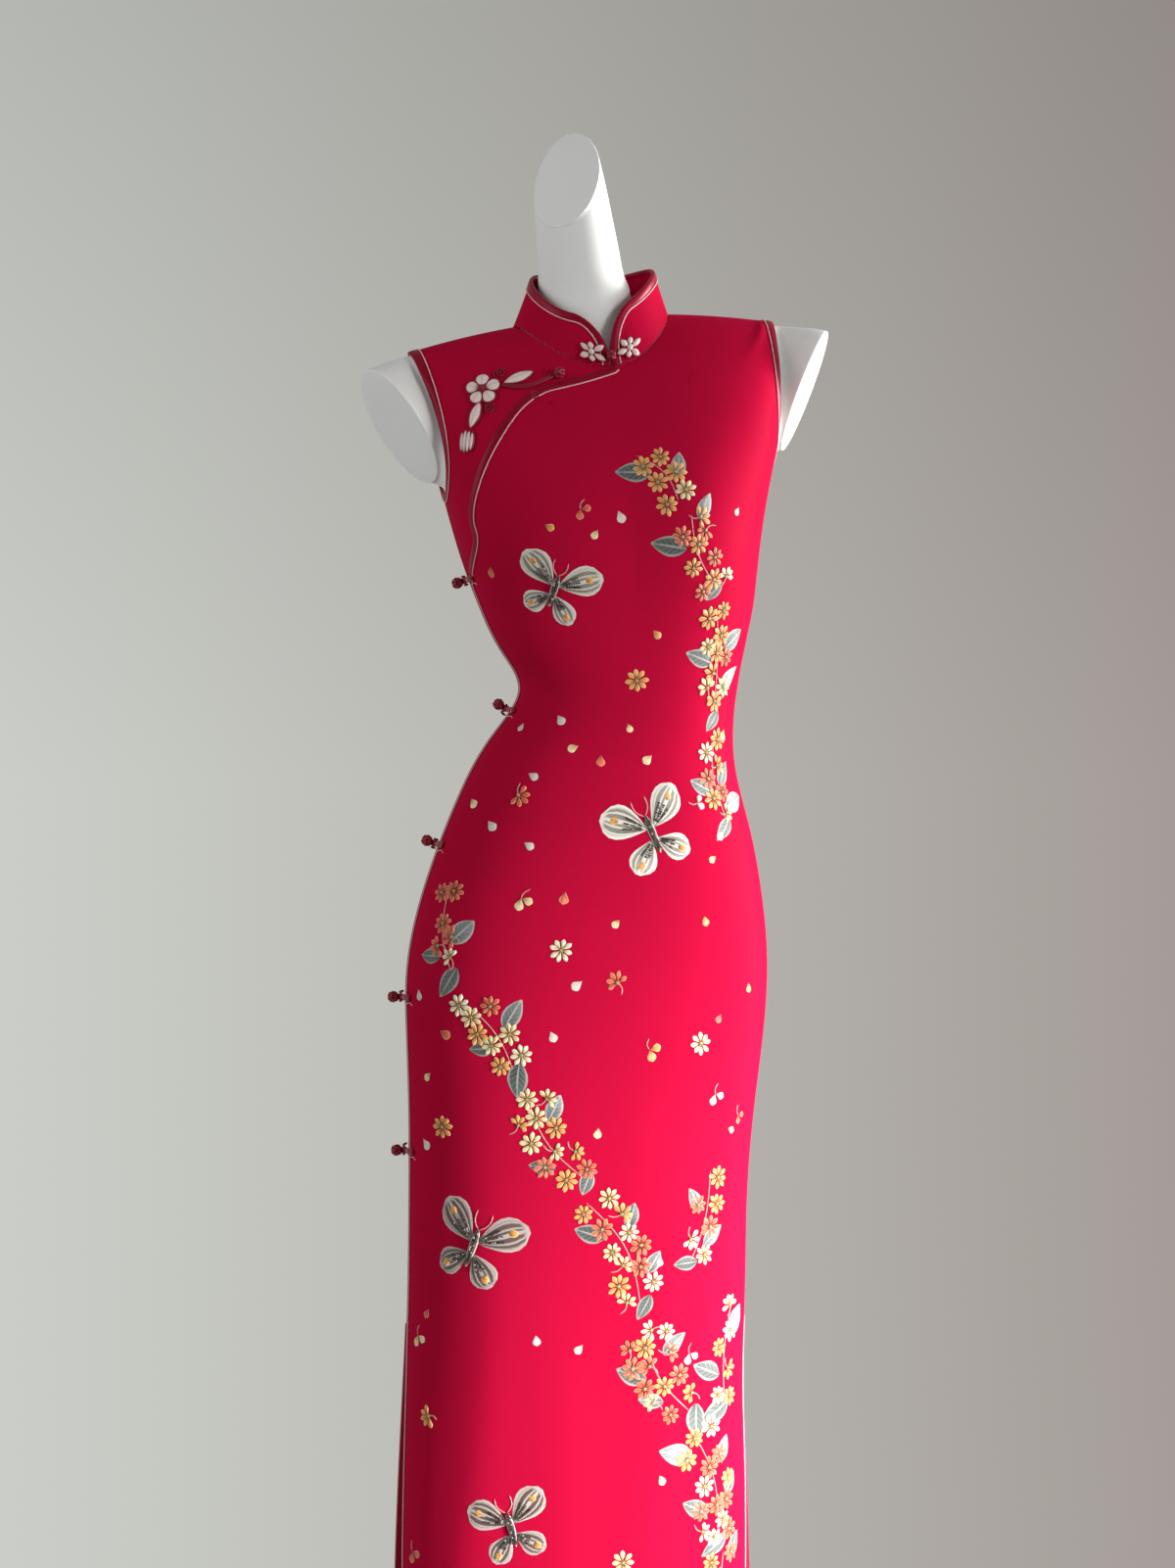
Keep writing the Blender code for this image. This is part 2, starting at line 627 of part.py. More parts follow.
def collar_foot(angle):
    """The neckline as the panels are cut, straight between their columns' ends."""
    rows = yoke_rows()[-1:]
    start = opening_share(rows, 0.0)
    side = np.ones(1)
    cut = np.concatenate([
        spread_columns(rows, start, side, HALF_COLUMNS)[0],
        spread_columns(rows, -side, start, YOKE_HALF_COLUMNS)[0],
        1 - spread_columns(rows, -side, side, HALF_COLUMNS)[0],
    ])
    cut = cut[(np.abs(cut) <= 0.5 + 1e-9) | ((cut >= 0.5) & (cut <= 1.5 + 1e-9))]
    cut = np.unique(np.round(np.where(cut < 0, cut + 2, cut), 6)) * math.pi
    cut = np.concatenate([cut, cut[:1] + 2 * math.pi])
    corner = neckline(cut)
    angle = np.where(angle < cut[0], angle + 2 * math.pi, angle)
    return np.stack([np.interp(angle, cut, corner[:, axis]) for axis in range(3)], axis=-1)


def collar_frame(angle):
    """Foot, unit direction up the collar, unit outward normal and full height, by angle."""
    def lean(at):
        foot = collar_foot(at)
        middle = COLLAR["middle"]
        swing = (COLLAR["front_drop"] + COLLAR["back_rise"]) / 2
        sag = (COLLAR["front_drop"] - COLLAR["back_rise"]) / 2
        top = np.stack([
            middle[0] + COLLAR["half_width"] * np.sin(at),
            middle[1] - COLLAR["half_depth"] * np.cos(at),
            middle[2] - swing * np.cos(at) - sag * np.cos(at)**2,
        ], axis=-1)
        lean_left = COLLAR["side_rise"] + COLLAR["front_twist"] * np.cos(at)
        top[..., 2] += lean_left * np.sin(at)
        return foot, top

    foot, top = lean(angle)
    upward = top - foot
    full = np.linalg.norm(upward, axis=-1)
    upward = upward / full[..., None]
    before = sum(lean(angle - 0.01)) / 2
    after = sum(lean(angle + 0.01)) / 2
    outward = np.cross(after - before, upward)
    outward = outward / np.linalg.norm(outward, axis=-1, keepdims=True)
    return foot, upward, outward, full


def collar_point(angle, tall, lift):
    """A point of the collar tall metres up from its foot, moved out by lift."""
    foot, upward, outward, _ = collar_frame(angle)
    return foot + upward * tall[..., None] + outward * np.broadcast_to(lift, tall.shape)[..., None]


def collar_edge():
    """The collar's edge by angle: how far round the foot each sample lies from the nearer
    front end, and how tall the collar is there."""
    dense = np.linspace(0, 2 * math.pi, 721)
    foot = collar_foot(dense)
    arc = np.concatenate([[0], np.cumsum(np.linalg.norm(np.diff(foot, axis=0), axis=1))])
    start = 0.0010
    corner = COLLAR["corner"]
    curve = start + corner * (1 - np.cos(np.linspace(0, math.pi / 2, 7)))
    middle = np.linspace(start + corner, arc[-1] - start - corner, 24)[1:-1]
    along = np.concatenate([curve, middle, (arc[-1] - curve)[::-1]])
    angle = np.interp(along, arc, dense)
    inward = np.clip(np.minimum(along, arc[-1] - along) - start, 0, corner) / corner
    full = collar_frame(angle)[3]
    ends = COLLAR["end_height"]
    tall = ends + (full - ends) * np.sqrt(1 - (1 - inward)**2)
    return along, angle, tall, arc, dense


def build_collar():
    along, angle, tall, arc, dense = collar_edge()
    share = np.linspace(0, 1, 4)[:, None]
    height = COLLAR["foot"] + share * (tall - COLLAR["foot"])[None, :]
    angles = np.repeat(angle[None, :], len(share), axis=0)
    outer = collar_point(angles, height, 0.0)
    inner = collar_point(angles, height, -COLLAR_WALL)
    points, faces = closed_grid(outer, inner)
    add("collar", points, faces.tolist(), "silk")

    low = COLLAR["foot"] + 0.0006
    path = np.stack([
        np.concatenate([along[:1], along, along[-1:]]),
        np.concatenate([[low], tall, [low]]),
    ], axis=-1)
    run = np.gradient(path, axis=0)
    run[0] = run[-1] = (0, 1)
    run[-1] = (0, -1)
    run = run / np.linalg.norm(run, axis=-1, keepdims=True)
    inward = np.stack([run[:, 1], -run[:, 0]], axis=-1)
    width = BINDING["width"]
    cord = width + CORD["gap"]
    bands = (
        ("collar_binding", 0.0002, width, COLLAR["trim"], COLLAR["trim"] + 0.0009, "binding"),
        ("collar_cord", cord, cord + CORD["width"], COLLAR["trim"], COLLAR["trim"] + 0.0012, "pale_cord"),
    )
    for name, near, far, under, over, material in bands:
        rings = []
        for aside, lift in ((near, under), (far, under), (far, over), (near, over)):
            moved = path + inward * aside
            moved[:, 1] = np.maximum(moved[:, 1], low)
            rings.append(collar_point(np.interp(moved[:, 0], arc, dense), moved[:, 1], lift))
        points, faces = closed_tube(np.stack(rings, axis=1))
        add(name, points, faces, material)


def place_on_cloth(turn, height, tilt=0.0):
    """A flat frame laid on the cloth: across and up in metres, turned by tilt degrees."""
    step = 0.0005
    by_turn = (surface(turn + step, height) - surface(turn - step, height)) / (2 * step)
    by_height = (surface(turn, height + step) - surface(turn, height - step)) / (2 * step)
    across = by_turn / np.linalg.norm(by_turn)
    outward = np.cross(by_turn, by_height)
    outward = outward / np.linalg.norm(outward)
    up = np.cross(outward, across)
    solve = np.linalg.inv(np.array([
        [by_turn @ across, by_height @ across],
        [by_turn @ up, by_height @ up],
    ]))
    cos = math.cos(math.radians(tilt))
    sin = math.sin(math.radians(tilt))

    def place(a, b, lift):
        moved = solve @ np.stack([np.ravel(a * cos - b * sin), np.ravel(a * sin + b * cos)])
        shape = np.shape(a)
        return cloth(turn + moved[0].reshape(shape), height + moved[1].reshape(shape), lift)

    return place


def place_on_collar(along, tall, tilt=0.0):
    """The same on the collar, along metres round from the front centre and tall up."""
    _, _, _, arc, dense = collar_edge()
    cos = math.cos(math.radians(tilt))
    sin = math.sin(math.radians(tilt))

    def place(a, b, lift):
        reach = (along + a * cos - b * sin) % arc[-1]
        return collar_point(np.interp(reach, arc, dense), tall + a * sin + b * cos, lift)

    return place


def raised(name, outline, thick, under, place, material, around=30):
    """A padded shape: its outline is a function of the angle, and it swells to thick."""
    angle = np.linspace(0, 2 * math.pi, around, endpoint=False)
    reach = outline(angle)
    profile = ((0.96, 0.0), (1.0, 0.45), (0.84, 0.88), (0.42, 1.0))
    rings = []
    for share, high in profile:
        a = reach * share * np.cos(angle)
        b = reach * share * np.sin(angle)
        rings.append(place(a, b, under + thick * high))
    points, faces = closed_tube(np.stack(rings))
    return add(name, points, faces, material)


def petal_outline(petals, size, notch=0.45):
    return lambda angle: size * (notch + (1 - notch) * np.abs(np.cos(petals * angle / 2))**0.7)


def leaf_outline(long, wide):
    def outline(angle):
        cos = np.abs(np.cos(angle))
        sin = np.abs(np.sin(angle))
        return 1 / ((cos / (long / 2))**1.35 + (sin / (wide / 2))**1.35)**(1 / 1.35)
    return outline


def frame_at(turn, height):
    """Origin, across, up and outward directions of the cloth at one place."""
    step = 0.0005
    across = surface(turn + step, height) - surface(turn - step, height)
    rise = surface(turn, height + step) - surface(turn, height - step)
    across = across / np.linalg.norm(across)
    outward = np.cross(across, rise)
    outward = outward / np.linalg.norm(outward)
    return surface(turn, height), across, np.cross(outward, across), outward


def stiff_place(turn, height):
    """A flat frame that doesn't bend with the cloth, for what stands out from it."""
    origin, across, up, outward = frame_at(turn, height)

    def place(a, b, lift):
        return origin + np.multiply.outer(a, across) + np.multiply.outer(b, up) \
            + np.multiply.outer(np.broadcast_to(lift, np.shape(a)), outward)

    return place


def knob(name, profile, place, material, around=10):
    """A turned piece standing out from the cloth: rows of lift and radius."""
    angle = np.linspace(0, 2 * math.pi, around, endpoint=False)
    rings = [place(radius * np.cos(angle), radius * np.sin(angle), lift) for lift, radius in profile]
    points, faces = closed_tube(np.stack(rings))
    return add(name, points, faces, material)


def ball_profile(middle, radius, stem, foot):
    """A ball on a stem that starts at foot."""
    start = math.asin(min(stem / radius, 1.0))
    angle = np.linspace(start, math.pi - 0.3, 6)
    rows = [(foot, stem)] if stem < radius else []
    return rows + [(middle - radius * math.cos(a), radius * math.sin(a)) for a in angle]


def bar(name, path, half_wide, thick, place, material):
    """A half-round bar along a path of across and lift."""
    section_rows = ((-1.0, 0.0), (-1.0, 0.4), (-0.5, 1.0), (0.5, 1.0), (1.0, 0.4), (1.0, 0.0))
    rings = []
    for side, high in section_rows:
        rings.append(place(path[:, 0], np.full(len(path), side * half_wide), path[:, 1] + high * thick))
    points, faces = closed_tube(np.stack(rings, axis=1))
    return add(name, points, faces, material)


def wire(name, path, radius, place, material, around=5):
    """A round cord along a path of across, up and lift."""
    run = np.gradient(path, axis=0)
    run = run / np.linalg.norm(run, axis=1, keepdims=True)
    side = np.cross(run, (0, 0, 1))
    side = side / np.linalg.norm(side, axis=1, keepdims=True)
    over = np.cross(side, run)
    rings = []
    for angle in np.linspace(0, 2 * math.pi, around, endpoint=False):
        ring = path + radius * (math.cos(angle) * side + math.sin(angle) * over)
        rings.append(place(ring[:, 0], ring[:, 1], ring[:, 2]))
    points, faces = closed_tube(np.stack(rings, axis=1))
    return add(name, points, faces, material)


def side_closure(number, height, over):
    """A knot, its tab on the front panel and its loop from the back panel."""
    turn = np.array(-math.pi + 0.02)
    stiff = stiff_place(turn, height)
    bent = place_on_cloth(turn, np.array(height))
    tag = str(number)
    foot = over + TAB["thick"] + KNOT["over_tab"]
    profile = ball_profile(over + KNOT["middle"], KNOT["ball"], KNOT["stem"], foot)
    knob("side_knot_" + tag, profile, stiff, "red_cord")

    across = np.linspace(TAB["behind"], TAB["reach"], 6)
    lift = np.full(across.shape, over)
    bar("side_tab_" + tag, np.stack([across, lift], axis=1), TAB["half_wide"], TAB["thick"], bent, "silk")

    bend = np.linspace(-math.pi / 2, math.pi / 2, 7)
    ring = LOOP["ring"]
    tail = np.linspace(-LOOP["tail"], -0.004, 4)
    sink = (1 - (tail + LOOP["tail"]) / (LOOP["tail"] - 0.004))**2
    high = over + LOOP["high"]
    low = high + (LOOP["low"] - high) * sink
    path = np.concatenate([
        np.stack([tail, np.full(4, -ring), low], axis=1),
        np.stack([ring * np.cos(bend), ring * np.sin(bend), np.full(7, high)], axis=1),
        np.stack([tail[::-1], np.full(4, ring), low[::-1]], axis=1),
    ])
    wire("side_loop_" + tag, path, LOOP["wire"], bent, "red_cord")


def build_panels():
    rows = row_heights()
    seam = SEAM_TURN / (math.pi / 2)
    even = np.full(rows.shape, 1 - seam)
    opened = rows > OPENING_END + 1e-6
    opening = np.where(opened, opening_share(rows, SEAM / 2), -even)
    panel("front_panel", rows, opening, even, HALF_COLUMNS, False, "silk")
    panel("back_panel", rows, -even, even, HALF_COLUMNS, True, "silk")

    tip = OPENING_END + YOKE_TIP
    above = rows[opened]
    edge = opening_share(above, -SEAM / 2)
    mix = (tip - OPENING_END) / (above[0] - OPENING_END)
    first = -1 + seam + mix * (edge[0] + 1 - seam)
    panel("right_yoke", np.append(tip, above), np.full(len(above) + 1, -1 + seam),
          np.append(first, edge), YOKE_HALF_COLUMNS, False, "silk")

    down = rows[::-1]
    bound_edge("opening", panel_point(opening[::-1], down, False), 1)
    slit = rows[rows < SLIT_TOP + 1e-6][::-1]
    near = np.full(slit.shape, 1 - seam)
    bound_edge("slit_left_front", panel_point(near, slit, False), -1)
    bound_edge("slit_left_back", panel_point(near, slit, True), 1)
    bound_edge("slit_right_back", panel_point(-near, slit, True), -1)
    bound_edge("armhole_left", armhole_line(1), 1, ring_strip)
    bound_edge("armhole_right", armhole_line(-1), -1, ring_strip)


def neck_point(angle, height):
    """The form's neck column by angle and height."""
    knots = [row[0] for row in NECK]
    read = [spline(np.clip(height, knots[0], knots[-1]), knots, [row[place] for row in NECK])
            for place in range(1, len(NECK_COLUMNS))]
    across, depth, half_width, half_depth = read
    return np.stack([
        across + half_width * np.sin(angle), depth - half_depth * np.cos(angle), height,
    ], axis=-1)


def neck_cut(angle):
    """Height at which the slanted cut meets the neck column."""
    x, y, z = NECK_CUT["through"]
    across, depth = NECK_CUT["slope_across"], NECK_CUT["slope_depth"]
    height = np.full(angle.shape, z)
    for _ in range(60):
        point = neck_point(angle, height)
        plane = z + across * (point[:, 0] - x) + depth * (point[:, 1] - y)
        height = 0.7 * height + 0.3 * plane
    return height


def loft(start, leave, end, arrive, steps):
    """Rings between two loops, leaving and arriving in given directions."""
    share = np.linspace(0, 1, steps + 1)[1:, None, None]
    return (
        start * (2 * share**3 - 3 * share**2 + 1)
        + leave * (share**3 - 2 * share**2 + share)
        + end * (3 * share**2 - 2 * share**3)
        + arrive * (share**3 - share**2)
    )


def along_surface(turn, height, heading):
    """A direction laid flat onto the cloth, keeping its length."""
    outward = normal_at(turn, height)
    flat = heading - outward * np.sum(heading * outward, axis=-1, keepdims=True)
    length = np.linalg.norm(heading, axis=-1, keepdims=True)
    return flat / np.linalg.norm(flat, axis=-1, keepdims=True) * length


def form_inset(turn, height):
    """How far the form lies under the cloth's outside: a little more over the shoulders,
    and most at the neckline."""
    rise = np.clip((height - ARMPIT) / YOKE_RISE, 0, 1)
    neck = SHOULDERS["neck"] / SHOULDERS["end"]
    inside = 1 / (1 + (side_share(turn) / neck)**8)
    chest = np.clip((height - 1.09) / 0.04, 0, 1) * (1 - np.clip(2 * rise - 0.6, 0, 1))
    chest = np.where(np.sin(turn) < -1e-6, chest, 0)
    return (
        WALL + FORM_CLEARANCE * (1 + rise) + FORM_CHEST_CLEARANCE * chest
        + FORM_NECK_CLEARANCE * inside * rise**2
    )


def build_form():
    """Torso, capped stubs and neck as one solid. Grids of the front and the back share
    their side columns up to the armpits, and the shoulder ridge."""
    worn = row_heights()
    low = np.append(TORSO_BOTTOM, worn[(worn > TORSO_BOTTOM) & (worn < ARMPIT)])
    rise = (1 - np.cos(np.linspace(0, math.pi, YOKE_ROWS))) / 2
    rows = np.concatenate([low, ARMPIT + YOKE_RISE * rise])
    share = spread_columns(rows[:1], -np.ones(1), np.ones(1), HALF_COLUMNS)[0]
    count, wide = len(rows), len(share)
    points = []
    where = []
    for back in (False, True):
        turn, height = panel_point(*np.meshgrid(share, rows), back)
        where.append((turn, height))
        points.append(cloth(turn, height, -form_inset(turn, height)))
    front = np.arange(count * wide).reshape(count, wide)
    back = front + count * wide
    joined = np.arange(count) <= len(low)
    back[joined, 0] = front[joined, 0]
    back[joined, -1] = front[joined, -1]
    ridge = np.abs(share) > 0.5 - 1e-6
    back[-1, ridge] = front[-1, ridge]
    points = np.concatenate([grid.reshape(-1, 3) for grid in points])
    faces = []
    for index in (front, back):
        cell = np.stack([index[:-1, :-1], index[:-1, 1:], index[1:, 1:], index[1:, :-1]], axis=-1)
        faces += split(cell).tolist()

    def extend(points, loop, rings, cap):
        """Adds rings beyond a loop of points and closes the last about its middle."""
        base = len(points)
        size = len(loop)
        points = np.concatenate([points, rings.reshape(-1, 3), cap[None]])
        index = np.concatenate([loop[None], base + np.arange(rings.shape[0] * size).reshape(-1, size)])
        onward = np.roll(index, -1, axis=1)
        sides = split(np.stack([index[:-1], onward[:-1], onward[1:], index[1:]], axis=-1))
        fan = np.stack([index[-1], onward[-1], np.full(size, len(points) - 1)], axis=-1)
        return points, sides.tolist() + fan.tolist()

    # floor of the torso
    loop = np.concatenate([front[0], back[0, -2:0:-1]])
    inner = points[loop][None] * (FLOOR_BEVEL, FLOOR_BEVEL, 1.0)
    points, more = extend(points, loop, inner, points[loop].mean(axis=0))
    faces += more

    # neck
    middle = np.where(np.abs(share) < 0.5 + 1e-6)[0]
    loop = np.concatenate([front[-1, middle], back[-1, middle[-2:0:-1]]])
    angle = np.concatenate([share[middle] * math.pi, math.pi - share[middle[-2:0:-1]] * math.pi])
    turn = np.concatenate([where[0][0][-1, middle], where[1][0][-1, middle[-2:0:-1]]])
    height = np.concatenate([where[0][1][-1, middle], where[1][1][-1, middle[-2:0:-1]]])
    start = points[loop]
    foot = start[:, 2] + NECK_FOOT["rise"] + NECK_FOOT["front"] * np.cos(angle)
    base = neck_point(angle, foot)
    span = np.linalg.norm(base - start, axis=1, keepdims=True)
    leave = along_surface(turn, height, base - start)
    arrive = np.array([0.0, 0.0, 1.0]) * span
    rings = [loft(start, leave, base, arrive, 4)]
    cut = neck_cut(angle)
    for mix in np.linspace(0, 1, 8)[1:]:
        rings.append(neck_point(angle, foot + (cut - foot) * mix)[None])
    rings = np.concatenate(rings)
    cap = rings[-1].mean(axis=0)
    raised_edge = np.array([0, -0.6, 1.0]) * NECK_FOOT["edge"]
    bevel = rings[-1] + (cap - rings[-1]) * NECK_FOOT["edge_share"] + raised_edge
    points, more = extend(points, loop, np.concatenate([rings, bevel[None]]), bevel.mean(axis=0))
    faces += more

    # stubs
    for side, column in ((1, -1), (-1, 0)):
        yoke_grid = slice(len(low), None)
        loop = np.concatenate([front[yoke_grid, column], back[yoke_grid, column][-2:0:-1]])
        turn = np.concatenate([where[0][0][yoke_grid, column], where[1][0][yoke_grid, column][-2:0:-1]])
        height = np.concatenate([where[0][1][yoke_grid, column], where[1][1][yoke_grid, column][-2:0:-1]])
        start = points[loop]
        dip, forward = math.radians(STUB["dip"]), math.radians(STUB["forward"])
        facing = np.array([side * math.cos(dip), -math.sin(forward), -math.sin(dip)])
        facing = facing / np.linalg.norm(facing)
        upward = np.array([0, 0, 1.0]) - facing * facing[2]
        upward = upward / np.linalg.norm(upward)
        deep = np.cross(facing, upward) * -side
        x, y, z = STUB["middle"]
        frame = from_shoulders(np.array([side * x + STUB["aside"], y, z]))
        turned = from_shoulders(np.array([[0, 0, 0], facing, upward, deep]))
        facing, upward, deep = turned[1:] - turned[0]
        half = YOKE_ROWS - 1
        sweep = np.concatenate([
            np.linspace(-math.pi / 2, math.pi / 2, half + 1),
            np.linspace(math.pi / 2, math.pi * 3 / 2, half + 1)[1:-1],
        ])
        rim = (
            frame + np.outer(np.sin(sweep), upward) * STUB["tall"]
            - np.outer(np.cos(sweep), deep) * STUB["deep"]
        )
        line = np.append(turn, turn[0]), np.append(height, height[0])
        if side < 0:
            line = np.where(line[0] > 0, line[0] - 2 * math.pi, line[0]), line[1]
        beyond = beside(*line, np.full(len(loop) + 1, -side * STUB["lead"]))
        lead = cloth(*beyond, -form_inset(*beyond))[:-1]
        leave = (lead - start) / np.linalg.norm(lead - start, axis=1, keepdims=True)
        span = np.linalg.norm(rim - lead, axis=1, keepdims=True)
        rings = loft(lead, leave * span * STUB["leave"], rim, facing * span * STUB["arrive"], 5)
        cap = frame + facing * STUB["edge"]
        bevel = cap + (rim - frame) * 0.975
        rings = np.concatenate([lead[None], rings, bevel[None]])
        points, more = extend(points, loop, rings, cap)
        faces += more
    add("form_torso", points, faces, "form_white")


def turned(name, profile, material, around):
    """A round piece about the upright axis: rows of height and radius."""
    angle = np.linspace(0, 2 * math.pi, around, endpoint=False)
    rings = [
        np.stack([radius * np.cos(angle), radius * np.sin(angle), np.full(around, height)], axis=-1)
        for height, radius in profile
    ]
    points, faces = closed_tube(np.stack(rings))
    add(name, points, faces, material)


def build_stand():
    top = TORSO_BOTTOM - SEAM
    foot = BASE["thick"] + SEAM
    turned("form_pole", (
        (foot, POLE["collar"]),
        (foot + POLE["collar_tall"] * 0.3, POLE["collar"]),
        (foot + POLE["collar_tall"], POLE["radius"]),
        (top - POLE["flange_thick"] * 3, POLE["radius"]),
        (top - POLE["flange_thick"], POLE["flange"]),
        (top, POLE["flange"]),
    ), "form_steel", 20)
    turned("form_base", (
        (0.0, BASE["radius"]),
        (BASE["thick"] - BASE["edge"], BASE["radius"]),
        (BASE["thick"], BASE["radius"] - BASE["edge"]),
    ), "form_steel", 56)


def build_frogs():
    for name, along in COLLAR_BLOSSOMS:
        place = place_on_collar(along, COLLAR_BLOSSOM["up"], 18.0)
        raised(name, petal_outline(5, COLLAR_BLOSSOM["radius"]), COLLAR_BLOSSOM["thick"],
               OVER_BINDING, place, "padded_petal")
    place = place_on_collar(0.0, 0.0095)
    radius = KNOT["ball"] * 0.85
    profile = ball_profile(KNOT_SEATS["collar"] + radius, radius, radius * 0.4, 0.0)
    knob("collar_knot", profile[1:], place, "red_cord")

    for name, across, up, long, wide, tilt in CHEST_FROG:
        place = place_on_cloth(*spot(across, up), tilt)
        outline = leaf_outline(long, wide) if wide else petal_outline(5, long)
        raised(name, outline, PETAL_THICK, ON_CLOTH, place, "padded_petal", 20 if wide else 30)
    across, up = (np.array(column) for column in zip(*CHEST_CORD))
    line = spot(across, up)
    half = CHEST_CORD_WIDE / 2
    strip("chest_cord", *line, -half, half, ON_CLOTH, ON_CLOTH + CHEST_CORD_THICK, "red_cord")
    place = stiff_place(*spot(*CHEST_KNOT))
    radius = KNOT["ball"]
    profile = ball_profile(KNOT_SEATS["chest"] + radius, radius, radius * 0.4, 0.0)
    knob("chest_knot", profile[1:], place, "red_cord")


build_panels()
build_collar()
build_form()
build_stand()
build_frogs()
for number, row in enumerate(SIDE_KNOTS, start=1):
    side_closure(number, *row)
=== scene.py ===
import math

import bpy
import numpy as np
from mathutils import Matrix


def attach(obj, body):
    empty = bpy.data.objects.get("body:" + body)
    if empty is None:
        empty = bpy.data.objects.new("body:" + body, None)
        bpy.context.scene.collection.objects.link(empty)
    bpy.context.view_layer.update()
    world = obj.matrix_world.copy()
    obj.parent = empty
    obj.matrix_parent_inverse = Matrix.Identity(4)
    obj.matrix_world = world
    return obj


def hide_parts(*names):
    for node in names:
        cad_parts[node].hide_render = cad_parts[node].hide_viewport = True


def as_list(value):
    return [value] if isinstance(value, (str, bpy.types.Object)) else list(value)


# A sleeveless silk cheongsam on a limbless white dress form, in metres, +Z up.
# The front faces -Y, and the wearer's right side is at -X.
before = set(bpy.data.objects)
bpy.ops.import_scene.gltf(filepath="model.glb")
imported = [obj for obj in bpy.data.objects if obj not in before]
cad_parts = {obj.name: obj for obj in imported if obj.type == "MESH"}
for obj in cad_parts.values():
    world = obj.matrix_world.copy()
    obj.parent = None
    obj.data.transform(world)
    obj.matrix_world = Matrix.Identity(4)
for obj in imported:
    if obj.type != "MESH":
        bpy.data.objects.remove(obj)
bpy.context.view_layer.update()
print("frame loaded")

cameraSettings = {"distance": 3.0, "yaw": 10.0, "height": 0.9505, "lens": 69.48, "sensor": 36.0}


# A level camera that looks at the upright axis, turned by yaw towards the wearer's left.
def makeCamera(settings):
    yaw = math.radians(settings["yaw"])
    data = bpy.data.cameras.new("camera")
    data.lens = settings["lens"]
    data.sensor_width = settings["sensor"]
    camera = bpy.data.objects.new("camera", data)
    reach = settings["distance"]
    camera.location = (-reach * math.sin(yaw), -reach * math.cos(yaw), settings["height"])
    camera.rotation_euler = (math.pi / 2, 0, -yaw)
    bpy.context.scene.collection.objects.link(camera)
    bpy.context.scene.camera = camera


makeCamera(cameraSettings)

# Cross sections of the dressed figure: roll in degrees, front and back are depths.
sectionNames = ("height", "middle", "roll", "halfWidth", "front", "back", "fullness")
sectionRows = (
    (0.0650, -0.0134, 0.0, 0.1750, 0.086, 0.088, 2.30),
    (0.1840, -0.0134, 0.0, 0.1740, 0.087, 0.089, 2.30),
    (0.2710, -0.0131, 0.0, 0.1720, 0.088, 0.090, 2.30),
    (0.3680, -0.0128, 0.0, 0.1686, 0.090, 0.093, 2.28),
    (0.4560, -0.0103, 0.0, 0.1683, 0.092, 0.096, 2.25),
    (0.5430, -0.0088, 0.0, 0.1688, 0.095, 0.100, 2.22),
    (0.6300, -0.0052, 0.0, 0.1725, 0.098, 0.105, 2.20),
    (0.7080, -0.0016, -0.4, 0.1785, 0.100, 0.109, 2.18),
    (0.7710, 0.0008, -1.2, 0.1800, 0.099, 0.111, 2.16),
    (0.8530, 0.0086, -3.8, 0.1668, 0.096, 0.105, 2.14),
    (0.9210, 0.0163, -5.5, 0.1472, 0.091, 0.094, 2.12),
    (0.9800, 0.0259, -7.5, 0.1238, 0.086, 0.083, 2.10),
    (1.0247, 0.0386, -9.2, 0.1088, 0.083, 0.077, 2.10),
    (1.0675, 0.0332, -6.0, 0.1189, 0.088, 0.080, 2.12),
    (1.1257, 0.0278, -1.0, 0.1366, 0.101, 0.088, 2.20),
    (1.1790, 0.0232, 3.0, 0.1480, 0.117, 0.095, 2.36),
    (1.2530, 0.0208, 6.2, 0.1645, 0.112, 0.101, 2.60),
)
dress = {
    "hem": 0.065, "armpit": 1.2530, "wall": 0.0012, "seamTurn": 0.0018, "seam": 0.0003,
    "yokeRise": 0.200, "pastRidge": 1.05, "slitTop": 0.420, "slitSpread": 0.004,
    "openingEnd": 1.152, "underlapTip": 0.0022, "metresRound": 0.150, "foldBow": 0.12,
}
bust = {"height": 1.185, "apart": 0.080, "spread": 0.046, "tall": 0.050, "swell": 0.010}
shoulders = {
    "rise": 0.1585, "end": 0.197, "tip": 0.1830, "neck": 0.0777, "ridge": 0.008, "fall": 0.0160,
    "roundness": 1.30, "pit": 0.485, "nape": 0.60, "napeLift": 0.060, "seam": 0.0011,
}
# Armhole edge: rise from armpit to shoulder, reach from the panel's middle to the side line.
armholeRows = ((0.00, 1.000), (0.04, 0.880), (0.14, 0.780), (0.34, 0.708), (0.62, 0.684), (1.00, 0.690))
# Front opening as it lies on the front: across, up.
openingRows = (
    (0.0123, 1.3545), (-0.0144, 1.3455), (-0.0400, 1.3385), (-0.0620, 1.3315),
    (-0.0834, 1.3154), (-0.1005, 1.2925), (-0.1158, 1.2639), (-0.1235, 1.2400),
    (-0.1262, 1.2170), (-0.1238, 1.1991), (-0.1210, 1.1816),
)
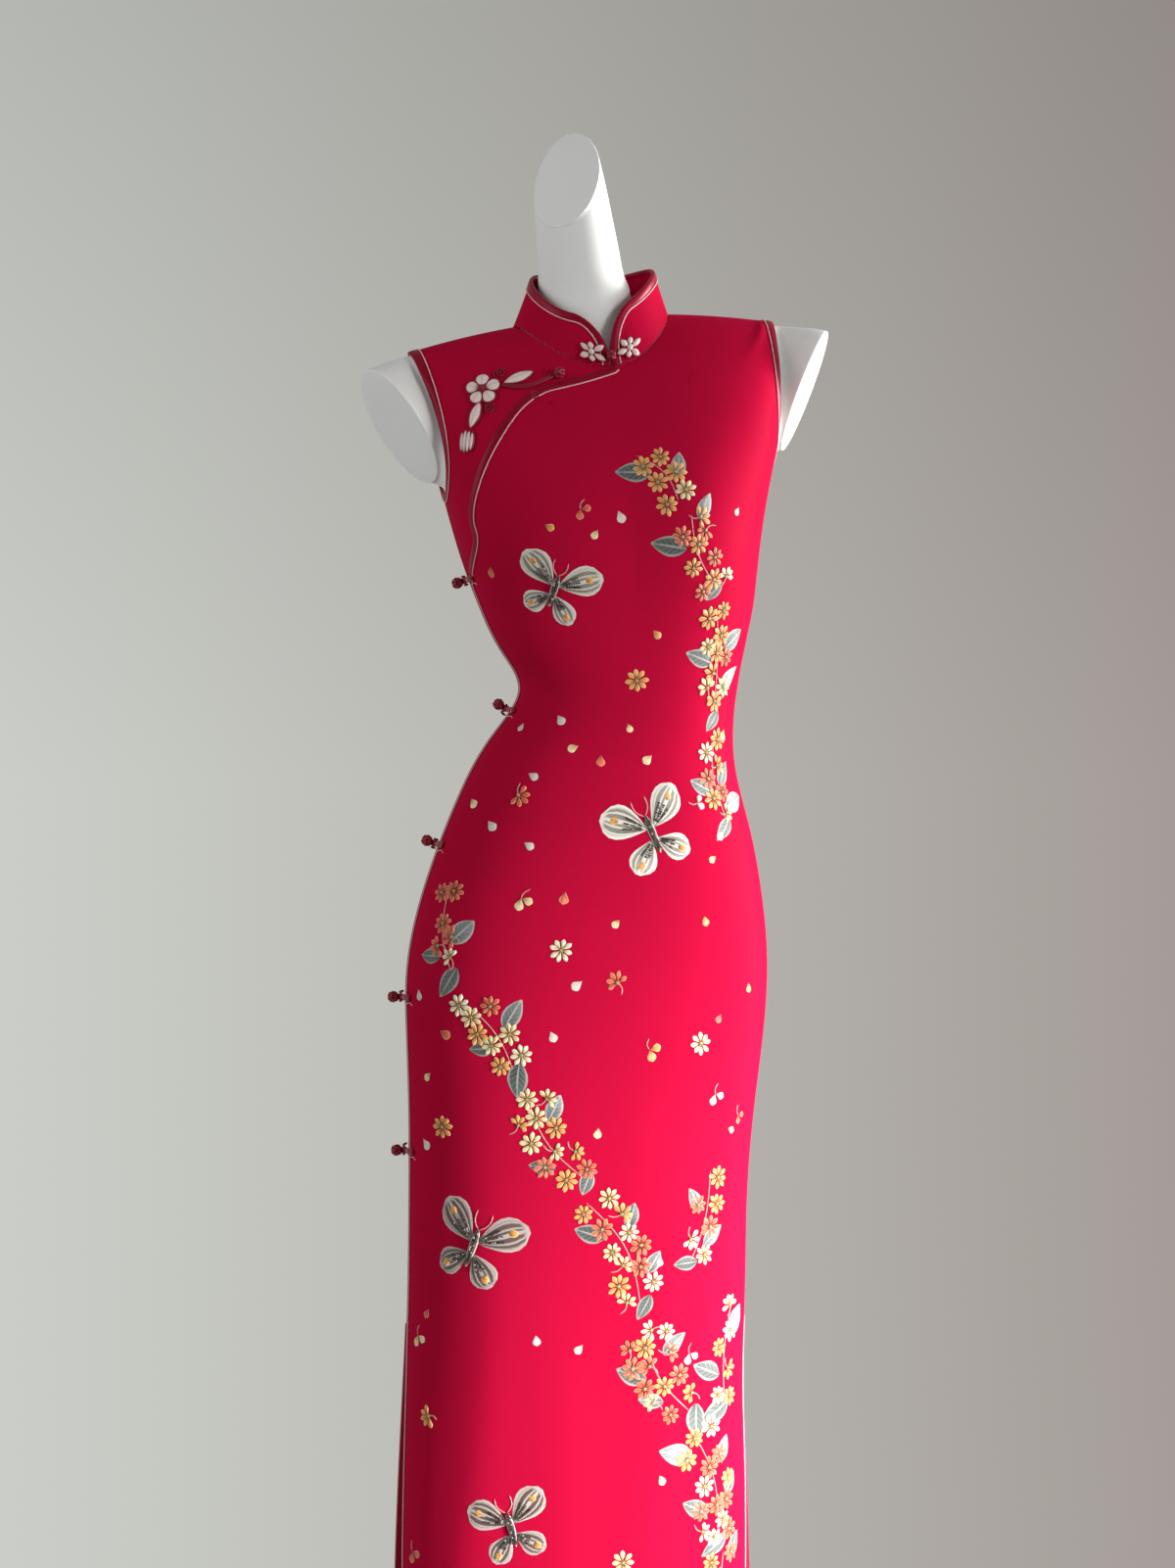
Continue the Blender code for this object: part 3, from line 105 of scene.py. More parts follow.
# Soft folds of the worn silk: at is degrees round from the front's middle (wearer's left is
# positive), height of the fold's middle, half length, half width, degrees from upright, lift.
foldRows = (
    (51, 1.392, 0.034, 0.0065, 20, 0.0026),
    (66, 1.330, 0.030, 0.0100, -12, 0.0013),
    (64, 1.262, 0.034, 0.0110, -58, 0.0011),
    (72, 1.226, 0.020, 0.0022, 8, -0.0005),
    (75, 1.120, 0.042, 0.0026, 4, 0.0007),
    (-58, 1.268, 0.030, 0.0090, 52, 0.0010),
    (-62, 1.385, 0.030, 0.0075, -16, 0.0016),
    (-66, 1.062, 0.036, 0.0080, 78, 0.0009),
    (-50, 1.012, 0.040, 0.0090, 96, 0.0008),
    (58, 1.048, 0.044, 0.0090, 84, 0.0009),
    (48, 1.006, 0.036, 0.0070, 100, 0.0007),
    (30, 0.930, 0.060, 0.0130, 74, 0.0007),
    (-20, 0.905, 0.052, 0.0120, 104, 0.0006),
    (-34, 0.360, 0.230, 0.0230, 3, 0.0019),
    (-8, 0.260, 0.190, 0.0280, -2, 0.0014),
    (22, 0.330, 0.240, 0.0250, 4, 0.0017),
    (47, 0.280, 0.210, 0.0200, -3, 0.0018),
    (-60, 0.240, 0.170, 0.0170, 2, 0.0015),
    (160, 1.060, 0.040, 0.0080, 84, 0.0022),
    (188, 1.028, 0.046, 0.0090, 93, 0.0024),
    (204, 1.078, 0.032, 0.0070, 101, 0.0017),
    (150, 0.992, 0.038, 0.0100, 80, 0.0015),
    (172, 1.255, 0.075, 0.0150, 6, 0.0014),
    (196, 1.200, 0.060, 0.0120, -8, 0.0012),
    (148, 1.330, 0.036, 0.0090, 24, 0.0016),
    (214, 1.336, 0.034, 0.0080, -20, 0.0015),
    (165, 0.330, 0.230, 0.0260, 2, 0.0020),
    (190, 0.250, 0.180, 0.0230, -3, 0.0016),
    (214, 0.350, 0.220, 0.0200, 4, 0.0017),
    (140, 0.260, 0.180, 0.0220, -4, 0.0015),
)


# Natural cubic spline through a table's column: solves for the bends once, then reads anywhere.
def splineThrough(knots, values):
    knots, values = np.asarray(knots, float), np.asarray(values, float)
    gap = np.diff(knots)
    slope = np.diff(values) / gap
    size = len(knots)
    row = np.arange(1, size - 1)
    system, target = np.eye(size), np.zeros(size)
    system[row, row - 1], system[row, row + 1] = gap[:-1], gap[1:]
    system[row, row] = 2 * (gap[:-1] + gap[1:])
    target[row] = 6 * np.diff(slope)
    bend = np.linalg.solve(system, target)

    def read(at):
        at = np.asarray(at, float)
        cell = np.clip(np.searchsorted(knots, at, side="right") - 1, 0, size - 2)
        left, right, width = at - knots[cell], knots[cell + 1] - at, gap[cell]
        return ((bend[cell] * right**3 + bend[cell + 1] * left**3) / (6 * width)
                + (values[cell] / width - bend[cell] * width / 6) * right
                + (values[cell + 1] / width - bend[cell + 1] * width / 6) * left)
    return read


sectionHeights = [row[0] for row in sectionRows]
sectionAt = {name: splineThrough(sectionHeights, [row[place] for row in sectionRows])
             for place, name in enumerate(sectionNames) if place}


# Below the armpits each section is a superellipse, tipped by its roll, with a soft bust laid
# on the front. turn is 0 at the wearer's left side seam and -pi/2 at the front.
def lowerDress(turn, height):
    power = sectionAt["fullness"](height)
    cos, sin = np.cos(turn), np.sin(turn)
    reach = (np.abs(cos)**power + np.abs(sin)**power)**(-1 / power)
    belowSlit = np.clip((dress["slitTop"] - height) / (dress["slitTop"] - dress["hem"]), 0, 1)
    part = np.where(sin < 0, -dress["slitSpread"], dress["slitSpread"]) * belowSlit
    across = (sectionAt["halfWidth"](height) + part) * cos * reach
    depth = np.where(sin < 0, sectionAt["front"](height), sectionAt["back"](height)) * sin * reach
    off = (np.abs(across) - bust["apart"]) / bust["spread"]
    rise = (height - bust["height"]) / bust["tall"]
    depth = depth - bust["swell"] * np.maximum(-sin, 0)**2 * np.exp(-(off**2 + rise**2) / 2)
    roll = np.radians(sectionAt["roll"](height))
    return stacked(sectionAt["middle"](height) + across * np.cos(roll), depth,
                   height + across * np.sin(roll))


shoulderRoll = math.radians(sectionRows[-1][2])
shoulderMiddle = sectionRows[-1][1]


# World points in the shoulders' tilted frame, and back again.
def toShoulders(point):
    x, z = point[..., 0] - shoulderMiddle, point[..., 2] - dress["armpit"]
    cos, sin = math.cos(shoulderRoll), math.sin(shoulderRoll)
    return stacked(x * cos + z * sin, point[..., 1], z * cos - x * sin - shoulders["rise"])


def fromShoulders(point):
    x, z = point[..., 0], point[..., 2] + shoulders["rise"]
    cos, sin = math.cos(shoulderRoll), math.sin(shoulderRoll)
    return stacked(shoulderMiddle + x * cos - z * sin, point[..., 1],
                   dress["armpit"] + x * sin + z * cos)


# How far out a line of the dress lies at the armpits, -1 to 1.
def sideShare(turn):
    power = sectionRows[-1][6]
    cos = np.cos(turn)
    return cos * (np.abs(cos)**power + np.abs(np.sin(turn))**power)**(-1 / power)


neckShare = shoulders["neck"] / shoulders["end"]


# A cubic between two points that leaves and arrives in given directions, at s from 0 to 1.
def cubic(start, leave, end, arrive, s):
    return (start * (2 * s**3 - 3 * s**2 + 1) + leave * (s**3 - 2 * s**2 + s)
            + end * (3 * s**2 - 2 * s**3) + arrive * (s**3 - s**2))


# Over the shoulders each line is a cubic that leaves the chest as it rose and arrives flat
# at the ridge. share is 0 at the armpit line and 1 at the ridge.
def yokeDress(turn, share):
    base = lowerDress(turn, np.full_like(turn, dress["armpit"]))
    below = lowerDress(turn, np.full_like(turn, dress["armpit"] - 0.001))
    start = toShoulders(base)
    leave = (start - toShoulders(below)) / 0.001 * dress["yokeRise"]
    out = sideShare(turn)
    tip = shoulders["tip"] / shoulders["end"]
    ridge = -shoulders["fall"] * (out**2 - neckShare**2) / (tip**2 - neckShare**2)
    inside = np.clip(1 - (out / neckShare)**2, 0, None)
    ridge = ridge + np.where(np.sin(turn) > 0, shoulders["napeLift"], 0) * inside**2
    end = stacked(out * shoulders["end"], np.full_like(out, shoulders["ridge"]), ridge)
    arrive = np.zeros_like(end)
    arrive[..., 1] = shoulders["roundness"] * (shoulders["ridge"] - start[..., 1])
    return fromShoulders(cubic(start, leave, end, arrive, np.asarray(share)[..., None]))


# How far up the yoke a height is, from 0 at the armpits.
def yokeShare(height, most=1):
    return np.clip((height - dress["armpit"]) / dress["yokeRise"], 0, most)


# The whole outside of the dress by turn and height, up to armpit + yokeRise on the ridge.
def dressSurface(turn, height):
    turn, height = np.broadcast_arrays(np.asarray(turn, float), np.asarray(height, float))
    share = yokeShare(height, dress["pastRidge"])
    under = lowerDress(turn, np.minimum(height, dress["armpit"]))
    return np.where((height > dress["armpit"])[..., None], yokeDress(turn, share), under)


# Values side by side along a new last axis.
def stacked(*values):
    return np.stack(values, axis=-1)


def unit(vector):
    return vector / np.linalg.norm(vector, axis=-1, keepdims=True)


def dot(first, second):
    return np.sum(first * second, axis=-1)


# Angles all the way round, the last one short of the first.
def wholeTurn(count):
    return np.linspace(0, 2 * math.pi, count, endpoint=False)


def direction(degrees):
    return np.array([math.cos(math.radians(degrees)), math.sin(math.radians(degrees))])


# Steps along the turn and along the height, and the outward direction square to both.
def tangents(turn, height):
    step = 0.0006
    byTurn = (dressSurface(turn + step, height) - dressSurface(turn - step, height)) / (2 * step)
    byHeight = (dressSurface(turn, height + step) - dressSurface(turn, height - step)) / (2 * step)
    return byTurn, byHeight, unit(np.cross(byTurn, byHeight))


# Each fold is a soft bell across its line that dies away along it; the lifts add up.
def foldLift(turn, height):
    lift = np.zeros(np.broadcast(turn, height).shape)
    for at, middle, long, wide, tilt, high in foldRows:
        away = (turn + math.pi / 2 - math.radians(at) + math.pi) % (2 * math.pi) - math.pi
        a, b = away * dress["metresRound"], height - middle
        cos, sin = direction(tilt)
        along, across = b * cos + a * sin, a * cos - b * sin
        across = across + dress["foldBow"] * along**2 / long
        lift = lift + high * np.exp(-(across / wide)**2 - (along / long)**2)
    return lift


# Points of the cloth's outside with its folds, moved out by lift, or in where it is negative.
def cloth(turn, height, lift=0.0):
    turn, height, lift = np.broadcast_arrays(turn, height, lift)
    outward = tangents(turn, height)[2]
    return dressSurface(turn, height) + outward * (lift + foldLift(turn, height))[..., None]


# Moves that take a step of a metres round and b metres up, both flat on the cloth.
def stepsOnCloth(turn, height, aside):
    byTurn, byHeight, _ = tangents(turn, height)
    tt, hh, th = dot(byTurn, byTurn), dot(byHeight, byHeight), dot(byTurn, byHeight)
    at, ah = dot(aside, byTurn), dot(aside, byHeight)
    solve = tt * hh - th * th
    return (at * hh - ah * th) / solve, (ah * tt - at * th) / solve


# A line on the cloth moved sideways over it, to the left of its run.
def beside(turn, height, across):
    line = dressSurface(turn, height)
    run = np.gradient(line, axis=0)
    if np.allclose(line[0], line[-1], atol=1e-6):
        run[0] = run[-1] = run[0] + run[-1]
    outward = tangents(turn, height)[2]
    aside = np.cross(outward, unit(run)) * np.asarray(across)[..., None]
    moveTurn, moveHeight = stepsOnCloth(turn, height, aside)
    return turn + moveTurn, height + moveHeight


# Where a point seen from straight in front lies on the front of the cloth, by Newton steps.
def spot(across, up):
    across, up = np.asarray(across, float), np.asarray(up, float)
    height = np.clip(up, dress["hem"], dress["armpit"] + 0.7 * dress["yokeRise"])
    low = np.minimum(height, dress["armpit"])
    share = np.clip((across - sectionAt["middle"](low)) / sectionAt["halfWidth"](low), -0.93, 0.93)
    turn = -np.arccos(share)
    for _ in range(14):
        miss = stacked(across, up) - dressSurface(turn, height)[..., (0, 2)]
        byTurn, byHeight, _ = tangents(turn, height)
        byTurn, byHeight = byTurn[..., (0, 2)], byHeight[..., (0, 2)]
        solve = byTurn[..., 0] * byHeight[..., 1] - byTurn[..., 1] * byHeight[..., 0]
        moveTurn = (miss[..., 0] * byHeight[..., 1] - miss[..., 1] * byHeight[..., 0]) / solve
        moveHeight = (byTurn[..., 0] * miss[..., 1] - byTurn[..., 1] * miss[..., 0]) / solve
        turn = turn + np.clip(moveTurn, -0.2, 0.2)
        height = height + np.clip(moveHeight, -0.05, 0.05)
    return turn, height


# The line of the dress that lies a share out to the side at the armpits.
def turnOf(out, back):
    table = np.linspace(-math.pi / 2, 0, 1801)
    turn = np.interp(np.abs(out), sideShare(table), table)
    turn = np.where(np.asarray(out) < 0, -math.pi - turn, turn)
    return np.where(back, -turn, turn)


# Upper edge on each line, as a share of the yoke: the ridge, with an oval neckline between.
def neckTop(turn):
    low = np.where(np.sin(turn) < 0, shoulders["pit"], shoulders["nape"])
    return 1 - (1 - low) * np.sqrt(np.clip(1 - (sideShare(turn) / neckShare)**2, 0, None))


armholeAt = splineThrough([math.sqrt(row[0]) for row in armholeRows], [row[1] for row in armholeRows])


# Spreads a row's columns from armhole to armhole; the top row puts one on each neck point.
def panelTurn(share, rise, back):
    share = np.asarray(share, float)
    reach = armholeAt(np.sqrt(np.clip(rise, 0, 1)))
    quarter = math.pi / 2
    neckColumn = 1 - abs(float(turnOf(neckShare, False))) / quarter
    inner = np.sin(np.clip(np.abs(share), 0, 0.5) * math.pi) * neckShare
    inner = 1 - np.abs(turnOf(inner, False)) / quarter
    outer = neckColumn + (reach - neckColumn) * (2 * np.abs(share) - 1)
    top = np.sign(share) * np.where(np.abs(share) < 0.5, inner, outer)
    mix = rise * rise * (3 - 2 * rise)
    spread = share * reach * (1 - mix) + top * mix
    return np.where(back, quarter - spread * quarter, -quarter + spread * quarter)


# A panel's column share and row as turn and height.
def panelPoint(share, row, back):
    rise = yokeShare(row)
    turn = panelTurn(share, rise, back)
    top = dress["armpit"] + rise * neckTop(turn) * dress["yokeRise"]
    return turn, np.where(row > dress["armpit"], top, row)


# The front opening from the neck's pit round to the side seam.
def openingLine(count):
    turn, height = spot(*np.array(openingRows).T)
    turn = np.append(turn, -math.pi + dress["seamTurn"])
    height = np.append(height, dress["openingEnd"])
    knots = np.arange(len(turn))
    at = np.linspace(0, knots[-1], count)
    return splineThrough(knots, turn)(at), splineThrough(knots, height)(at)


# Where the opening, moved aside, crosses each row of the front.
def openingShare(row, aside):
    turn, height = openingLine(481)
    turn, height = beside(turn, height, np.full(turn.shape, aside))
    rise = (height - dress["armpit"]) / dress["yokeRise"] / neckTop(turn)
    lineRow = np.where(height > dress["armpit"], dress["armpit"] + rise * dress["yokeRise"], height)
    order = np.argsort(lineRow)
    crossing = np.interp(row, lineRow[order], turn[order])
    table = np.linspace(-1, 1, 401)
    return np.array([np.interp(one, panelTurn(table, rise, False), table)
                     for one, rise in zip(crossing, yokeShare(row))])


panelGrid = {"skirt": 84, "hips": 78, "waist": 40, "chest": 40, "yoke": 72, "half": 45, "yokeHalf": 24,
             "hipsFrom": 0.700, "waistFrom": 1.040}


# Rows from hem to shoulder, closer together where the figure curves.
def panelRows(grid):
    stops = (dress["hem"], grid["hipsFrom"], grid["waistFrom"], dress["openingEnd"], dress["armpit"])
    counts = (grid["skirt"], grid["hips"], grid["waist"], grid["chest"])
    rows = [np.linspace(low, high, count, endpoint=False)
            for low, high, count in zip(stops, stops[1:], counts)]
    return np.concatenate(rows + [yokeRows(grid["yoke"])])


def yokeRows(count):
    rise = (1 - np.cos(np.linspace(0, math.pi, count))) / 2
    return dress["armpit"] + dress["yokeRise"] * np.minimum(rise, 1 - shoulders["seam"])


# Column shares between two edges on every row; the middle one ends on the side neck point.
def spreadColumns(rows, left, right, half):
    half = np.linspace(0, 1, half)
    middle = (left + right) / 2
    middle = middle + (np.round(middle * 2) / 2 - middle) * yokeShare(rows)**4
    near = left[:, None] + (middle - left)[:, None] * half
    far = right[:, None] + (middle - right)[:, None] * half[-2::-1]
    return np.concatenate([near, far], axis=1)


print("dress surface ready")


class Value:
    # One socket of a look's shader. + - * and their reflected forms add Math nodes.
    def __init__(self, look, socket):
        self.look, self.socket = look, socket

    def join(self, operation, first, second=0.0, clamped=False):
        settings = {"operation": operation, "use_clamp": clamped}
        return self.look.node("ShaderNodeMath", settings, {0: first, 1: second})

    def __add__(self, other):
        return self.join("ADD", self, other)

    def __sub__(self, other):
        return self.join("SUBTRACT", self, other)

    def __rsub__(self, other):
        return self.join("SUBTRACT", other, self)

    def __mul__(self, other):
        return self.join("MULTIPLY", self, other)

    __radd__, __rmul__ = __add__, __mul__

    def sine(self):
        return self.join("SINE", self)

    def size(self):
        return self.join("ABSOLUTE", self)

    def most(self, other):
        return self.join("MAXIMUM", self, other)

    def clamped(self):
        return self.join("ADD", self, 0.0, True)


class Look:
    # A material whose nodes all come from node(): type, settings first, then sockets.
    def __init__(self, name):
        self.material = bpy.data.materials.new(name)
        self.material.use_nodes = True
        self.tree = self.material.node_tree
        self.shader = self.tree.nodes["Principled BSDF"]

    def node(self, kind, settings=None, sockets=None, out=0):
        made = self.tree.nodes.new(kind)
        for name, value in (settings or {}).items():
            setattr(made, name, value)
        for name, value in (sockets or {}).items():
            self.feed(made.inputs[name], value)
        return Value(self, made.outputs[out])

    def feed(self, socket, value):
        if isinstance(value, Value):
            self.tree.links.new(value.socket, socket)
        else:
            socket.default_value = value

    def set(self, **sockets):
        for name, value in sockets.items():
            self.feed(self.shader.inputs[name.replace("_", " ")], value)

    def colour(self, red, green, blue):
        return (red, green, blue, 1.0)

    def mix(self, factor, first, second):
        return self.node("ShaderNodeMix", {"data_type": "RGBA"}, {0: factor, 6: first, 7: second}, 2)

    def noise(self, where, scale, stretch=(1, 1, 1), detail=2.0):
        placed = self.node("ShaderNodeMapping", None, {"Vector": where, "Scale": stretch})
        return self.node("ShaderNodeTexNoise", None, {"Vector": placed, "Scale": scale, "Detail": detail})

    def bump(self, height, strength, distance):
        sockets = {"Height": height, "Strength": strength, "Distance": distance}
        return self.node("ShaderNodeBump", None, sockets)

    def uv(self):
        return self.node("ShaderNodeTexCoord", None, None, "UV")

    def place(self):
        return self.node("ShaderNodeTexCoord", None, None, "Object")

    def painted(self, key, out="Color"):
        return self.node("ShaderNodeAttribute", {"attribute_name": key}, None, out)

    def parts(self, vector):
        split = self.node("ShaderNodeSeparateXYZ", None, {0: vector})
        return [Value(self, socket) for socket in split.socket.node.outputs]


silkFinish = {
    "colour": (0.450, 0.0046, 0.036), "deep": (0.385, 0.0036, 0.029),
    "roughness": 0.46, "sheen": 0.05, "sheenTint": (1.0, 0.01, 0.40), "slub": 0.10,
    "gloss": (1.0, 0.02, 0.20),
}
# The binding's deep colour is painted shade in the dips between its diagonal threads, and random wear in its
# tone.
bindingFinish = {"colour": (0.300, 0.0030, 0.022), "deep": (0.200, 0.0022, 0.015), "roughness": 0.34}
formFinish = {"colour": (0.860, 0.860, 0.845), "roughness": 0.55}
steelFinish = {"colour": (0.740, 0.740, 0.725), "roughness": 0.34}


# Silk satin: threads long across the width, so a stretched noise is both the faint slub in
# the colour and the bump, and a soft second noise varies the gloss.
def silkLook(name, finish):
    look = Look(name)
    uv = look.uv()
    slub = look.noise(uv, 1.0, (55, 900, 1), 3.0)
    cloud = look.noise(look.place(), 16.0, (1, 1, 1), 2.0)
    ribs = (look.parts(uv)[0] * 5200).sine() * 0.22
    colour = look.mix((slub * 0.6 + cloud * 0.4).clamped(), look.colour(*finish["deep"]),
                      look.colour(*finish["colour"]))
    look.set(Base_Color=colour, Roughness=cloud * 0.10 + (finish["roughness"] - 0.05),
             Normal=look.bump(slub + ribs, finish["slub"], 0.0003))
    look.set(Sheen_Weight=finish["sheen"], Sheen_Roughness=0.35,
             Sheen_Tint=look.colour(*finish["sheenTint"]), Specular_IOR_Level=0.004,
             Specular_Tint=look.colour(*finish["gloss"]))
    return look.material


# Satin cut on the cross: fine diagonal threads over the strip, from its own UV in metres. Their dips are
# painted darker as painted shade, and a random worn noise varies the tone as wear.
def bindingLook(name, finish):
    look = Look(name)
    along, across, _ = look.parts(look.uv())
    cross = ((along + across) * 4200).sine() * 0.5 + 0.5
    worn = look.noise(look.place(), 60.0)
    # painted shade in the threads' dips, mixed with random wear
    colour = look.mix((cross * 0.35 + worn * 0.5).clamped(), look.colour(*finish["deep"]),
                      look.colour(*finish["colour"]))
    look.set(Base_Color=colour, Roughness=worn * 0.12 + (finish["roughness"] - 0.06),
             Normal=look.bump(cross, 0.12, 0.0002))
    look.set(Sheen_Weight=0.05, Sheen_Tint=look.colour(1.0, 0.15, 0.30), Specular_IOR_Level=0.40,
             Specular_Tint=look.colour(1.0, 0.16, 0.30))
    return look.material


# Twisted cord: slanting stripes where the distance along and the turn round run together. The deep colour is
# painted shade in the dips between the strands, the crowns keep the cord's own colour, and a fine random fray
# varies the tone.
def cordLook(name, colour, deep, twist, strands, roughness, sheen):
    look = Look(name)
    along, around, _ = look.parts(look.uv())
    strand = ((along * twist + around * strands) * (2 * math.pi)).sine() * 0.5 + 0.5
    fray = look.noise(look.place(), 900.0)
    # painted shade: the deep colour fills the dips between the strands
    shade = look.mix((strand * 0.8 + fray * 0.3).clamped(), look.colour(*deep), look.colour(*colour))
    look.set(Base_Color=shade, Roughness=fray * 0.15 + (roughness - 0.07),
             Normal=look.bump(strand + fray * 0.3, 0.35, 0.0003))
    look.set(Sheen_Weight=sheen, Specular_IOR_Level=0.40)
    return look.material


# Painted form: fine orange-peel bump and a slow mottle in the colour and the gloss.
def paintedLook(name, finish, metallic=0.0):
    look = Look(name)
    where = look.place()
    mottle = look.noise(where, 9.0)
    peel = look.noise(where, 420.0)
    low = [channel * 0.93 for channel in finish["colour"]]
    look.set(Base_Color=look.mix(mottle, look.colour(*low), look.colour(*finish["colour"])),
             Roughness=mottle * 0.12 + (finish["roughness"] - 0.06),
             Normal=look.bump(peel, 0.05, 0.0004))
    look.set(Metallic=metallic, Specular_IOR_Level=0.40)
    return look.material


# Embroidery thread: UV runs across the stitch patch and along it, both 0 to 1. Its rim is
# stitched pale and its root in another shade; rib 1 adds a leaf's veins, rib 2 a wing's streaks.
def threadLook(name):
    look = Look(name)
    across, along, _ = look.parts(look.uv())
    main, edge, root = (look.painted(key) for key in ("thread", "edge", "root"))
    rib = look.painted("rib", "Fac")
    side = ((across - 0.5) * 2).size()
    rim = side.most(along * 2 - 1)
    rimMask = ((rim - 0.70) * 6).clamped()
    rootMask = ((0.66 - along) * 2.1 * (1.15 - side)).clamped()
    ribMask = ((0.13 - side) * 14).clamped() * rib.clamped()
    veins = (((along * 6.5 - side * 1.7) * (2 * math.pi)).sine() * 6 - 5).clamped()
    veins = veins * rib.clamped() * (2 - rib).clamped()
    streaks = ((across * (2 * math.pi * 5)).sine() * 3 - 1).clamped() * (rib - 1).clamped()
    stitch = ((across * 15 + along * (side * 2.5)) * (2 * math.pi)).sine() * 0.5 + 0.5
    grain = look.noise(look.place(), 1500.0)
    colour = look.mix(rootMask, main, root)
    colour = look.mix(rimMask.most(ribMask).most(streaks * 0.85).most(veins * 0.55), colour, edge)
    deep = look.mix(0.45, colour, (0.05, 0.02, 0.02, 1))
    colour = look.mix((stitch * 0.22 + grain * 0.12).clamped(), colour, deep)
    look.set(Base_Color=colour, Roughness=grain * 0.2 + 0.30,
             Normal=look.bump(stitch + grain * 0.4, 0.45, 0.00035))
    look.set(Sheen_Weight=0.25, Specular_IOR_Level=0.50)
    return look.material


# Padded satin of the frogs: the same stitches, drawn finer, over a plain pale colour.
def paddedLook(name, colour, deep):
    look = Look(name)
    across, _, _ = look.parts(look.uv())
    stitch = (across * (2 * math.pi * 26)).sine() * 0.5 + 0.5
    side = ((across - 0.5) * 2).size()
    rib = ((0.10 - side) * 14).clamped() * 0.55
    grain = look.noise(look.place(), 700.0)
    shade = look.mix((stitch * 0.25 + grain * 0.2 + rib).clamped(), look.colour(*colour), look.colour(*deep))
    look.set(Base_Color=shade, Roughness=grain * 0.2 + 0.32,
             Normal=look.bump(stitch, 0.3, 0.0003))
    look.set(Sheen_Weight=0.25, Specular_IOR_Level=0.45)
    return look.material


def beadLook(name):
    look = Look(name)
    tone = look.painted("thread")
    glint = look.noise(look.place(), 600.0)
    colour = look.mix((glint - 0.35).clamped() * 0.6, tone, (0.75, 0.70, 0.64, 1))
    look.set(Base_Color=colour, Roughness=glint * 0.25 + 0.12)
    look.set(Metallic=0.65, Specular_IOR_Level=0.6)
    return look.material


looks = {
    "silk": silkLook("crimson silk satin", silkFinish),
    "binding": bindingLook("satin binding", bindingFinish),
    # Cords: their own colour, then the painted shade in the dips of their twist.
    "stem": cordLook("stem thread", (0.72, 0.34, 0.31), (0.46, 0.13, 0.12), 300, 2, 0.45, 0.2),
    "paleCord": cordLook("pale cord", (0.90, 0.52, 0.54), (0.62, 0.24, 0.27), 620, 2, 0.45, 0.2),
    "redCord": cordLook("dark red cord", (0.360, 0.005, 0.030), (0.130, 0.002, 0.012), 330, 3, 0.46, 0.03),
    "padded": paddedLook("padded ivory satin", (0.860, 0.720, 0.690), (0.560, 0.330, 0.310)),
    "thread": threadLook("embroidery thread"),
    "bead": beadLook("metal bead"),
    "form": paintedLook("matte white form", formFinish),
    "steel": paintedLook("painted steel", steelFinish, 0.25),
}
print("finishes ready")


# Signed volume of a closed mesh from fans over its faces: below nought, it is inside out.
def signedVolume(points, faces):
    first, total = points[faces[:, 0]], 0.0
    for place in range(1, faces.shape[1] - 1):
        total += np.sum(first * np.cross(points[faces[:, place]], points[faces[:, place + 1]]))
    return total


# One object from points and lists of faces, all quads or triangles, turned outward.
def makePiece(name, points, faceSets, look, nodes=(), uv=None, paint=None, crease=50.0):
    faceSets = [np.asarray(faces) for faces in faceSets if len(faces)]
    if sum(signedVolume(points, faces) for faces in faceSets) < 0:
        faceSets = [faces[:, ::-1] for faces in faceSets]
    mesh = bpy.data.meshes.new(name)
    mesh.from_pydata(points.tolist(), [], [face for faces in faceSets for face in faces.tolist()])
    mesh.polygons.foreach_set("use_smooth", np.ones(len(mesh.polygons), bool))
    mesh.set_sharp_from_angle(angle=math.radians(crease))
    corner = np.empty(len(mesh.loops), np.int32)
    mesh.loops.foreach_get("vertex_index", corner)
    if uv is not None:
        layer = mesh.uv_layers.new(name="UVMap")
        layer.data.foreach_set("uv", np.asarray(uv, np.float32)[corner].ravel())
    for key, values in (paint or {}).items():
        if values.ndim == 2:
            attribute = mesh.attributes.new(key, "FLOAT_COLOR", "POINT")
            attribute.data.foreach_set("color", values.astype(np.float32).ravel())
        else:
            attribute = mesh.attributes.new(key, "FLOAT", "POINT")
            attribute.data.foreach_set("value", values.astype(np.float32))
    mesh.materials.append(looks[look])
    piece = bpy.data.objects.new(name, mesh)
    bpy.context.scene.collection.objects.link(piece)
    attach(piece, "root")
    if nodes:
        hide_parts(*nodes)
    return piece


# Quads of a grid of points; closed ways wrap round.
def gridFaces(index, wrapRows=False, wrapColumns=False):
    if wrapRows:
        index = np.concatenate([index, index[:1]])
    if wrapColumns:
        index = np.concatenate([index, index[:, :1]], axis=1)
    return stacked(index[:-1, :-1], index[:-1, 1:], index[1:, 1:], index[1:, :-1]).reshape(-1, 4)


# Distances along a line of points, from nought.
def runLength(points, axis=0):
    step = np.linalg.norm(np.diff(points, axis=axis), axis=-1)
    return np.concatenate([np.zeros_like(np.take(step, [0], axis)), np.cumsum(step, axis)], axis)


# A closed wall from two equal grids, its rim joined by one band of quads.
def wallPiece(name, outer, inner, look, nodes):
    rows, columns = outer.shape[:2]
    index = np.arange(rows * columns).reshape(rows, columns)
    far = rows * columns
    rim = np.concatenate([index[0, :-1], index[:-1, -1], index[-1, :0:-1], index[:0:-1, 0]])
    onward = np.roll(rim, -1)
    band = stacked(rim + far, onward + far, onward, rim)
    points = np.concatenate([outer.reshape(-1, 3), inner.reshape(-1, 3)])
    faces = [np.concatenate([gridFaces(index), gridFaces(index)[:, ::-1] + far, band])]
    u = runLength(outer, 1)
    u = u - u[:, columns // 2][:, None]
    v = runLength(outer, 0)[:, columns // 2][:, None] + np.zeros_like(u)
    uv = stacked(u, v).reshape(-1, 2)
    return makePiece(name, points, faces, look, nodes, np.concatenate([uv, uv]))


